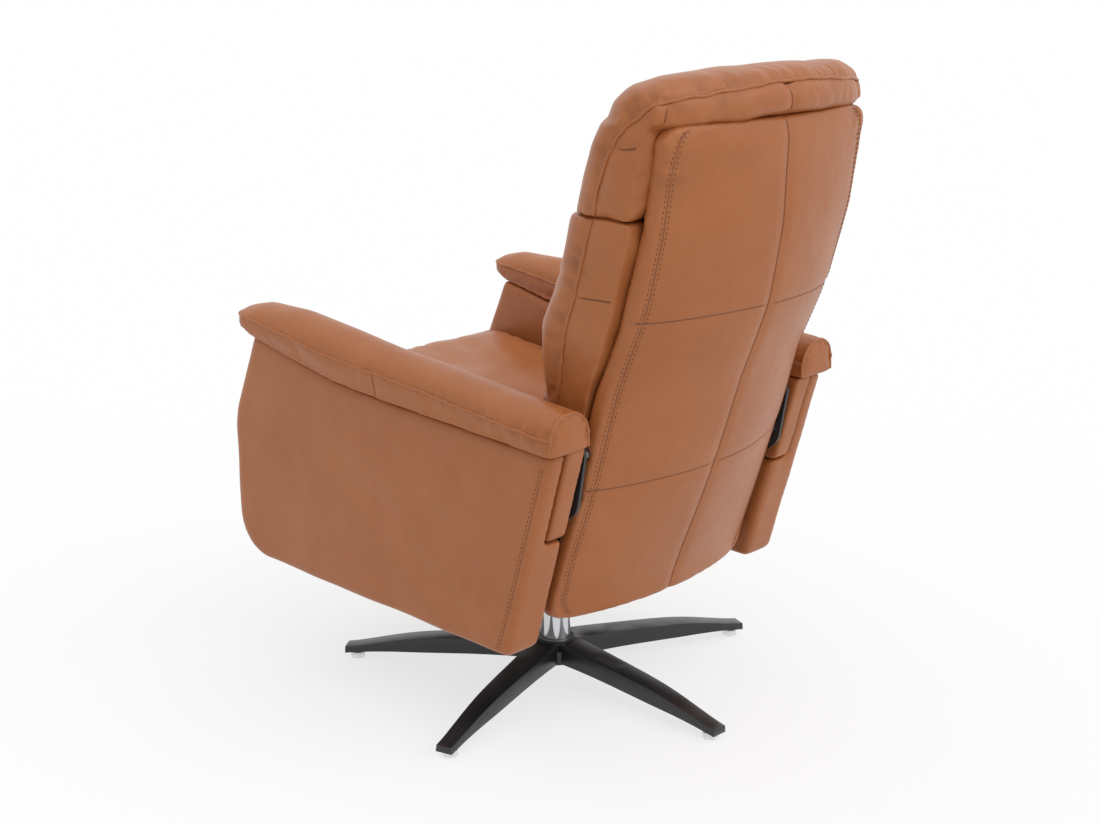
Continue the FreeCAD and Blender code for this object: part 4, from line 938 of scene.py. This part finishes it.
def notch_block(name):
    """The block that leaves room for the arm's tail: open at the inner side and the rear."""
    low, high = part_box("left_arm_tail")
    panel_low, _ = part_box("left_arm_panel")
    tail = points_of(frame["nodes"]["left_arm_tail"].data)
    foot = tail[tail[:, 2] < low.z + 0.02]
    lean = (high.y - foot[:, 1].max()) / (high.z - low.z)
    room = 0.010
    clear = 0.0015
    top = high.z + 0.1
    depth = 0.1

    def build(work):
        bmesh.ops.create_cube(work, size=1)
        for vertex in work.verts:
            x = panel_low.x - 0.05 if vertex.co.x < 0 else high.x + clear
            z = low.z - clear if vertex.co.z < 0 else top
            front = low.y - room + lean * (z - low.z)
            y = front if vertex.co.y < 0 else front + depth
            vertex.co = (x, y, z)

    return new_piece(name, build)


def arm_pads(context):
    """Padded arm rests: a boxing strip, piping along its upper edge and a piped rear cap."""
    _, padding, sizes, _ = looks(context)
    low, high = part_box("left_arm_pad")
    pad = copy_of("left_arm_rest", "left_arm_pad")
    remeshed(pad, padding.voxel * 0.9)
    smoothed(pad, 2)
    drawn_in(pad, padding.tuck * 0.6)
    points = points_of(pad.data)
    caps = np.full(len(points), padding.firm * 1.3)
    under = points[:, 2] < np.interp(points[:, 1], *pad_profile("base")) + 0.004
    caps[under] *= 0.2
    filled(pad, padding.pressure, caps)
    subdivided(pad)
    outer = [(high.x, y, z) for y, z in zip(*pad_profile("piping"))]
    inner = [(low.x, y, z) for y, z in zip(*pad_profile("piping"))]
    turn = 0.038
    front_y = low.y
    level = outer[2][2]
    nose = [
        (high.x, front_y + turn, level), (high.x - turn * 0.3, front_y + turn * 0.3, level),
        (high.x - turn, front_y, level), (low.x + turn, front_y, level),
        (low.x + turn * 0.3, front_y + turn * 0.3, level), (low.x, front_y + turn, level),
    ]
    edge = smooth_line(outer[:2:-1] + nose + inner[3:], 0.004)
    rim = laid_on(pad, edge)
    cap_y = high.y - 0.001
    ridge = float(pad_profile("ridge")[1][-1])
    base = float(pad_profile("base")[1][-1])
    side = float(pad_profile("piping")[1][-1])
    half = (high.x - low.x) / 2
    middle = (high.x + low.x) / 2
    arc = [(high.x, cap_y, base + 0.004), (high.x, cap_y, side)]
    for step in range(1, 8):
        turned = math.pi * step / 8
        arc.append((middle + half * math.cos(turned), cap_y, side + (ridge - side) * math.sin(turned)))
    arc += [(low.x, cap_y, side), (low.x, cap_y, base + 0.004)]
    cap = laid_on(pad, smooth_line(arc, 0.003))
    cross_y = -0.059
    cross_low, cross_high = (float(np.interp(cross_y, *pad_profile(field))) for field in ("base", "piping"))
    cross = [(high.x, cross_y, cross_low), (high.x, cross_y, cross_high)]
    cross = laid_on(pad, smooth_line(cross, 0.002))
    sewn(pad, [(rim, 0.9, 0.5, 1), (cap, 0.9, 0.6, 1), (cross, 0.8, 0.3, 1)], sizes)
    gathered(pad, rim[: len(rim) // 6], 0.012, 0.0012, 0.010, 11)
    gathered(pad, cap, 0.012, 0.0011, 0.011, 12)
    leathered(pad, "chair_frame", 0.8, "left_arm_pad")
    welt("left_arm_rest_piping", pad, rim, sizes)
    welt("left_arm_rest_cap_piping", pad, cap, sizes)
    twin_of(pad, "chair_frame", 0.8, "right_arm_pad")


def pad_profile(field):
    """Heights along the arm pad: its underside, its piping or its ridge, as two lists y and z."""
    column = {"base": 1, "piping": 2, "ridge": 3}[field]
    return [row[0] for row in PAD_LINES], [row[column] for row in PAD_LINES]


def arm_tails(context):
    """Padded strips under the rear caps, set into the panels."""
    tail = copy_of("left_arm_strip", "left_arm_tail")
    remeshed(tail, 0.0032)
    smoothed(tail, 6)
    undulated(tail, 0.0004, 0.05, 3)
    subdivided(tail)
    leathered(tail, "chair_frame", 0.8, "left_arm_tail")
    twin_of(tail, "chair_frame", 0.8, "right_arm_tail")


def back_shell(context):
    """The upholstered outer shell of the back: two panels joined in the middle, each of three
    pieces, with a topstitched seam along the sides."""
    _, padding, sizes, _ = looks(context)
    low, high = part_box("back_shell")
    half = (high.x - low.x) / 2
    edge = half - 0.004
    shell = copy_of("back_shell_cover", "back_shell")
    remeshed(shell, padding.shell_net)
    smoothed(shell, 7)
    undulated(shell, 0.0006, 0.16, 21)
    centre = rear_line(shell, [(0, level) for level in np.linspace(low.z + 0.004, high.z - 0.004, 20)], 0.002)
    ribs = rear_line(shell, [(-edge, 0.684), (-0.1, 0.6875), (0, 0.690), (0.1, 0.690), (edge, 0.690)], 0.002)
    loin = rear_line(shell, [(-edge, 0.4435), (-0.1, 0.439), (0, 0.437), (0.1, 0.435), (edge, 0.433)], 0.002)
    seams = [(centre, 1, 1, 1), (ribs, 0.8, 0.45, 0.8), (loin, 0.8, 0.45, 0.8)]
    rows = []
    for sign in (1, -1):
        reach = half - sizes.inset
        path = [(sign * (reach - extra), level) for level, extra in shell_seam_path(low.z, high.z)]
        seams.append((rear_line(shell, path, 0.002), 0.8, 0.5, 0.7))
        for offset in (-0.0042, 0.0042):
            rows.append(rear_line(shell, [(x + sign * offset, level) for x, level in path], 0.004))
    sewn(shell, seams, sizes)
    for sign, (side, _, _, _) in zip((1, -1), seams[3:]):
        gathered(shell, side[-34:], 0.022, 0.0024, 0.009, 31 + sign)
    leathered(shell, "back", 0.9, "back_shell")
    thread("back_shell_stitches", shell, rows, sizes)


def shell_seam_path(low, high):
    """Heights of the side seam and how far it is drawn in at each."""
    return [
        (low + 0.010, 0.016), (low + 0.030, 0.004), (low + 0.060, 0.0), (0.40, 0.0), (0.60, 0.0), (0.75, 0.0),
        (0.86, 0.0), (high - 0.060, 0.001), (high - 0.035, 0.004), (high - 0.016, 0.011),
        (high - 0.006, 0.022),
    ]


def rear_line(shell, path, step):
    """A line of (x, z) points dropped on the shell's rear face."""
    tree = tree_of(shell)
    _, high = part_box("back_shell")
    laid = []
    for x, z in path:
        spot = tree.ray_cast(Vector((x, high.y + 0.5, z)), Vector((0, -1, 0)))[0]
        if spot is not None:
            laid.append(tuple(spot))
    return laid_on(shell, smooth_line(laid, step))


def cushion_base(context, name, node, firm_rear, seed):
    """A deep cushion, filled, that keeps its flat rear."""
    _, padding, _, _ = looks(context)
    cushion = copy_of(name, node)
    remeshed(cushion, padding.voxel)
    smoothed(cushion, 4)
    drawn_in(cushion, padding.tuck)
    points = points_of(cushion.data)
    caps = np.full(len(points), padding.soft)
    caps *= np.clip(0.25 + firm_rear(points), 0.12, 1)
    filled(cushion, padding.pressure, caps)
    undulated(cushion, 0.0012, 0.085, seed)
    subdivided(cushion)
    return cushion


def back_cushion(context):
    """The back cushion, piped along both side edges."""
    _, _, sizes, _ = looks(context)
    low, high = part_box("back_cushion")
    edge = side_line(low.z + 0.004, high.z - 0.004)

    def freedom(points):
        ahead = np.interp(points[:, 2], [p[2] for p in edge], [p[1] for p in edge]) - points[:, 1]
        return np.clip(ahead / 0.03, 0, 1) * np.clip((0.246 - np.abs(points[:, 0])) / 0.03, 0, 1)

    cushion = cushion_base(context, "back_cushion_cover", "back_cushion", freedom, 41)
    sides = side_seams(cushion, edge)
    seams = [(line, 0.9, 0.8, 1) for line in sides]
    cross_z = 0.719
    cross_y = float(np.interp(cross_z, [p[2] for p in edge], [p[1] for p in edge]))
    for sign in (1, -1):
        path = [(sign * 0.25, cross_y, cross_z), (sign * 0.25, cross_y + 0.062, cross_z)]
        seams.append((laid_on(cushion, smooth_line(path, 0.002)), 0.9, 0.5, 1))
    across = np.linspace(-0.2, 0.2, 9)
    fronts = [front_line(cushion, [(x, 0.05, level) for x in across]) for level in (0.53, 0.68)]
    seams += [(line, 0.9, 2.2, 1) for line in fronts]
    sewn(cushion, seams, sizes)
    for line in fronts:
        gathered(cushion, line, 0.016, 0.0013, 0.014, 61)
    for turn, line in enumerate(sides):
        gathered(cushion, line, 0.030, 0.0022, 0.016, 50 + turn, side=(0, -1, 0))
        gathered(cushion, line, 0.016, 0.0010, 0.022, 57 + turn, side=(0, 1, 0))
    leathered(cushion, "back", 0.7, "back_cushion")
    for sign, side in ((1, "left"), (-1, "right")):
        line = smooth_line(edge if sign > 0 else flipped(edge), 0.004)
        welt("back_cushion_%s_piping" % side, cushion, line, sizes)


def front_line(cushion, path):
    """A line dropped on the front of a cushion from the sitter's side."""
    tree = tree_of(cushion)
    laid = []
    for point in path:
        spot = tree.ray_cast(Vector(point) - Vector((0, 0.3, 0)), Vector((0, 1, 0)))[0]
        if spot is not None:
            laid.append(tuple(spot))
    return laid_on(cushion, smooth_line(laid, 0.002))


def side_seams(cushion, edge):
    """The seams along both side edges of a cushion."""
    return [laid_on(cushion, smooth_line(line, 0.003)) for line in (edge, flipped(edge))]


def head_piping_path(edge):
    """The head cushion's piping: up one side, over the rear of the top and down the other side."""
    over = [
        (0.247, 0.353, 0.955), (0.238, 0.378, 0.975), (0.215, 0.402, 0.988),
        (0.15, 0.420, 0.995), (0.07, 0.426, 0.9975),
    ]
    left = edge + over
    right = [(-x, y, z) for x, y, z in reversed(left)]
    return left + [(0, 0.428, 0.998)] + right


def head_cushion(context):
    """The head cushion, rolled over the top of the shell, with piping over its rear and gathers."""
    _, _, sizes, _ = looks(context)
    low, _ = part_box("head_cushion")
    edge = side_line(low.z + 0.004, 0.925)
    path = head_piping_path(edge)
    loop = smooth_line(path, 0.003)

    def freedom(points):
        _, gap, _ = nearness(points, loop, 10)
        rear = np.clip((points[:, 1] - 0.40) / 0.02, 0, 1) * np.clip((0.97 - points[:, 2]) / 0.02, 0, 1)
        return np.clip(gap / 0.05, 0, 1) * (1 - 0.85 * rear)

    cushion = cushion_base(context, "head_cushion_cover", "head_cushion", freedom, 43)
    loop = laid_on(cushion, loop)
    seams = [(loop, 0.9, 1.0, 1)]
    centre = [(0, 0.428, 0.996), (0, 0.440, 0.985), (0, 0.4425, 0.970), (0, 0.4425, 0.958)]
    seams.append((laid_on(cushion, smooth_line(centre, 0.002)), 1.0, 1.3, 1))
    for sign in (1, -1):
        corner = [(sign * 0.214, 0.402, 0.987), (sign * 0.222, 0.412, 0.972), (sign * 0.224, 0.412, 0.958)]
        seams.append((laid_on(cushion, smooth_line(corner, 0.002)), 0.9, 1.0, 1))
        tuck = [(sign * 0.25, 0.330, 0.930), (sign * 0.25, 0.350, 0.926), (sign * 0.25, 0.372, 0.929)]
        seams.append((laid_on(cushion, smooth_line(tuck, 0.002)), 0.9, 0.8, 1))
    sewn(cushion, seams, sizes)
    gathered(cushion, loop, 0.034, 0.0034, 0.017, 71, side=(0, -0.8, 0.6))
    gathered(cushion, loop, 0.018, 0.0016, 0.024, 75, side=(0, 0.8, -0.6))
    leathered(cushion, "back", 0.7, "head_cushion")
    welt("head_cushion_piping", cushion, loop[::2], sizes)


def seat_cushion(context):
    """The seat cushion: a plump front, piped boxing and two long seams near its sides."""
    _, _, sizes, _ = looks(context)
    low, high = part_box("seat_cushion")

    def freedom(points):
        side = np.clip((high.x - 0.006 - np.abs(points[:, 0])) / 0.03, 0, 1)
        return side * np.clip((points[:, 2] - low.z - 0.01) / 0.03, 0, 1)

    cushion = cushion_base(context, "seat_cushion_cover", "seat_cushion", freedom, 45)
    inset = 0.030
    lines = []
    for sign in (1, -1):
        along = np.linspace(low.y + 0.03, high.y - 0.02, 16)
        path = [(sign * (high.x - inset), y, high.z + ABOVE) for y in along]
        lines.append(top_line(cushion, path))
    sewn(cushion, [(line, 0.9, 1.6, 1) for line in lines], sizes)
    for turn, line in enumerate(lines):
        gathered(cushion, line, 0.018, 0.0014, 0.018, 80 + turn)
    leathered(cushion, "seat", 0.7, "seat_cushion")
    for line, side in zip(lines, ("left", "right")):
        welt("seat_cushion_%s_piping" % side, cushion, line[::2], sizes)


def top_line(cushion, path):
    """A line dropped on the top of a cushion."""
    tree = tree_of(cushion)
    laid = []
    for point in path:
        spot = tree.ray_cast(Vector(point), Vector((0, 0, -1)))[0]
        if spot is not None:
            laid.append(tuple(spot))
    return laid_on(cushion, smooth_line(laid, 0.002))


def legrest_pad(context):
    """The leg rest's pad with a cross seam."""
    _, _, sizes, _ = looks(context)
    low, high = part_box("legrest_pad")

    def freedom(points):
        return np.clip((high.y - 0.012 - points[:, 1]) / 0.02, 0, 0.6)

    pad = cushion_base(context, "legrest_cover", "legrest_pad", freedom, 47)
    middle = low.z + (high.z - low.z) / 2
    path = [(x, low.y, middle) for x in np.linspace(low.x + 0.01, high.x - 0.01, 12)]
    line = front_line(pad, path)
    sewn(pad, [(line, 0.9, 1.6, 1)], sizes)
    gathered(pad, line, 0.014, 0.0011, 0.016, 91)
    leathered(pad, "legrest", 0.8, "legrest_pad")


def star_base(context):
    """The casting with its edges softened."""
    base = copy_of("star_base_casting", "star_base")
    edges = base.modifiers.new("soft edges", "BEVEL")
    edges.width = 0.0016
    edges.segments = 3
    edges.limit_method = "ANGLE"
    edges.angle_limit = math.radians(35)
    edges.harden_normals = True
    for polygon in base.data.polygons:
        polygon.use_smooth = True
    settled(base)
    base.data.materials.append(MATERIALS["base_paint"])
    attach(base, "base")
    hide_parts("star_base")


def node_finishes(context):
    """Give every CAD node that stays in view its finish."""
    for finish, names in NODE_FINISHES.items():
        for name in names:
            node = frame["nodes"][name]
            node.data.materials.clear()
            node.data.materials.append(MATERIALS[finish])


def background_rays(flow):
    """1 for rays that show the background: from the camera, mirrored or through something clear."""
    seen, mirrored_in, through = (
        flow.node("ShaderNodeLightPath", {}, {}, name)
        for name in ("Is Camera Ray", "Is Glossy Ray", "Is Transmission Ray")
    )
    return seen.maths("MAXIMUM", mirrored_in).maths("MAXIMUM", through)


def stage(context):
    """Camera, white floor and soft light."""
    _, _, _, look = looks(context)
    scene = context.scene
    floor = new_piece("floor", lambda work: bmesh.ops.create_grid(work, x_segments=2, y_segments=2, size=60))

    def surface(flow, tree, shader):
        seen = background_rays(flow)
        tone, left = look.floor_tone, 1 - look.floor_glow
        join(tree, seen.blend((tone, tone, tone, 1), (left, left, left, 1)), shader, "Base Color")
        glow = look.floor_glow
        join(tree, seen.blend((0, 0, 0, 1), (glow, glow, glow, 1)), shader, "Emission Color")
        shader.inputs["Emission Strength"].default_value = 1.0
        shader.inputs["Roughness"].default_value = 1.0
        shader.inputs["Specular IOR Level"].default_value = 0.0

    floor.data.materials.append(new_material("floor_white", surface))
    for name, strength, direction, spread in (
        ("top_light", look.top, (0.15, 0.1, 1), 80),
        ("rear_light", look.key, (-0.35, 1, 0.75), 50),
    ):
        light = bpy.data.lights.new(name, "SUN")
        light.energy = strength
        light.angle = math.radians(spread)
        lamp = bpy.data.objects.new(name, light)
        lamp.rotation_euler = Vector(direction).to_track_quat("Z", "Y").to_euler()
        scene.collection.objects.link(lamp)
    world = bpy.data.worlds.new("white_sky")
    world.use_nodes = True
    background = world.node_tree.nodes["Background"]
    flow = Flow(world.node_tree)
    seen = background_rays(flow)
    strength = seen.node("ShaderNodeMix", {"data_type": "FLOAT"}, {0: seen, 2: look.sky, 3: 1.02})
    world.node_tree.links.new(strength.socket, background.inputs["Strength"])
    background.inputs["Color"].default_value = (1, 1, 1, 1)
    scene.world = world
    data = bpy.data.cameras.new("camera")
    data.lens = look.lens
    data.shift_x = look.shift
    camera = bpy.data.objects.new("camera", data)
    camera.location = look.camera
    camera.rotation_euler = (Vector(look.aim) - Vector(look.camera)).to_track_quat("-Z", "Y").to_euler()
    scene.collection.objects.link(camera)
    scene.camera = camera
    scene.view_settings.view_transform = "Standard"


def operator_for(identifier, label, text, work):
    """An operator class that runs one step."""

    def execute(self, context):
        work(context)
        return {"FINISHED"}

    name = "RECLINER_OT_" + identifier
    fields = {"bl_idname": "recliner." + identifier, "bl_label": label, "__doc__": text, "execute": execute}
    return type(name, (bpy.types.Operator,), fields)


STEPS = [
    ("make_materials", "Materials", make_materials),
    ("node_finishes", "Finish the CAD parts", node_finishes),
    ("star_base", "Star base", star_base),
    ("arm_panels", "Arm panels", arm_panels),
    ("arm_pads", "Arm rests", arm_pads),
    ("arm_tails", "Arm tails", arm_tails),
    ("back_shell", "Back shell", back_shell),
    ("back_cushion", "Back cushion", back_cushion),
    ("head_cushion", "Head cushion", head_cushion),
    ("seat_cushion", "Seat cushion", seat_cushion),
    ("legrest_pad", "Leg rest pad", legrest_pad),
    ("stage", "Stage", stage),
]

OPERATORS = [operator_for(step, label, work.__doc__, work) for step, label, work in STEPS]


class RECLINER_PT_panel(bpy.types.Panel):
    """Buttons for each step."""

    bl_label = "Recliner"
    bl_idname = "RECLINER_PT_panel"
    bl_space_type = "VIEW_3D"
    bl_region_type = "UI"
    bl_category = "Recliner"

    def draw(self, context):
        for operator in OPERATORS:
            self.layout.operator(operator.bl_idname)


GROUPS = {
    "recliner_leather": LeatherLook,
    "recliner_padding": PaddingSizes,
    "recliner_seams": SeamSizes,
    "recliner_stage": StageLook,
}


def register():
    """Register the groups, operators and panel."""
    for name, group in GROUPS.items():
        bpy.utils.register_class(group)
        setattr(bpy.types.Scene, name, bpy.props.PointerProperty(type=group))
    for item in [*OPERATORS, RECLINER_PT_panel]:
        bpy.utils.register_class(item)


def unregister():
    """Take them out again."""
    for item in reversed([*OPERATORS, RECLINER_PT_panel]):
        bpy.utils.unregister_class(item)
    for name, group in GROUPS.items():
        delattr(bpy.types.Scene, name)
        bpy.utils.unregister_class(group)


def main():
    """Build everything in order and write how large the frame and the dressed part are."""
    register()
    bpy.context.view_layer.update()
    for step, _, _ in STEPS:
        getattr(bpy.ops.recliner, step)()


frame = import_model()

if __name__ == "__main__":
    main()
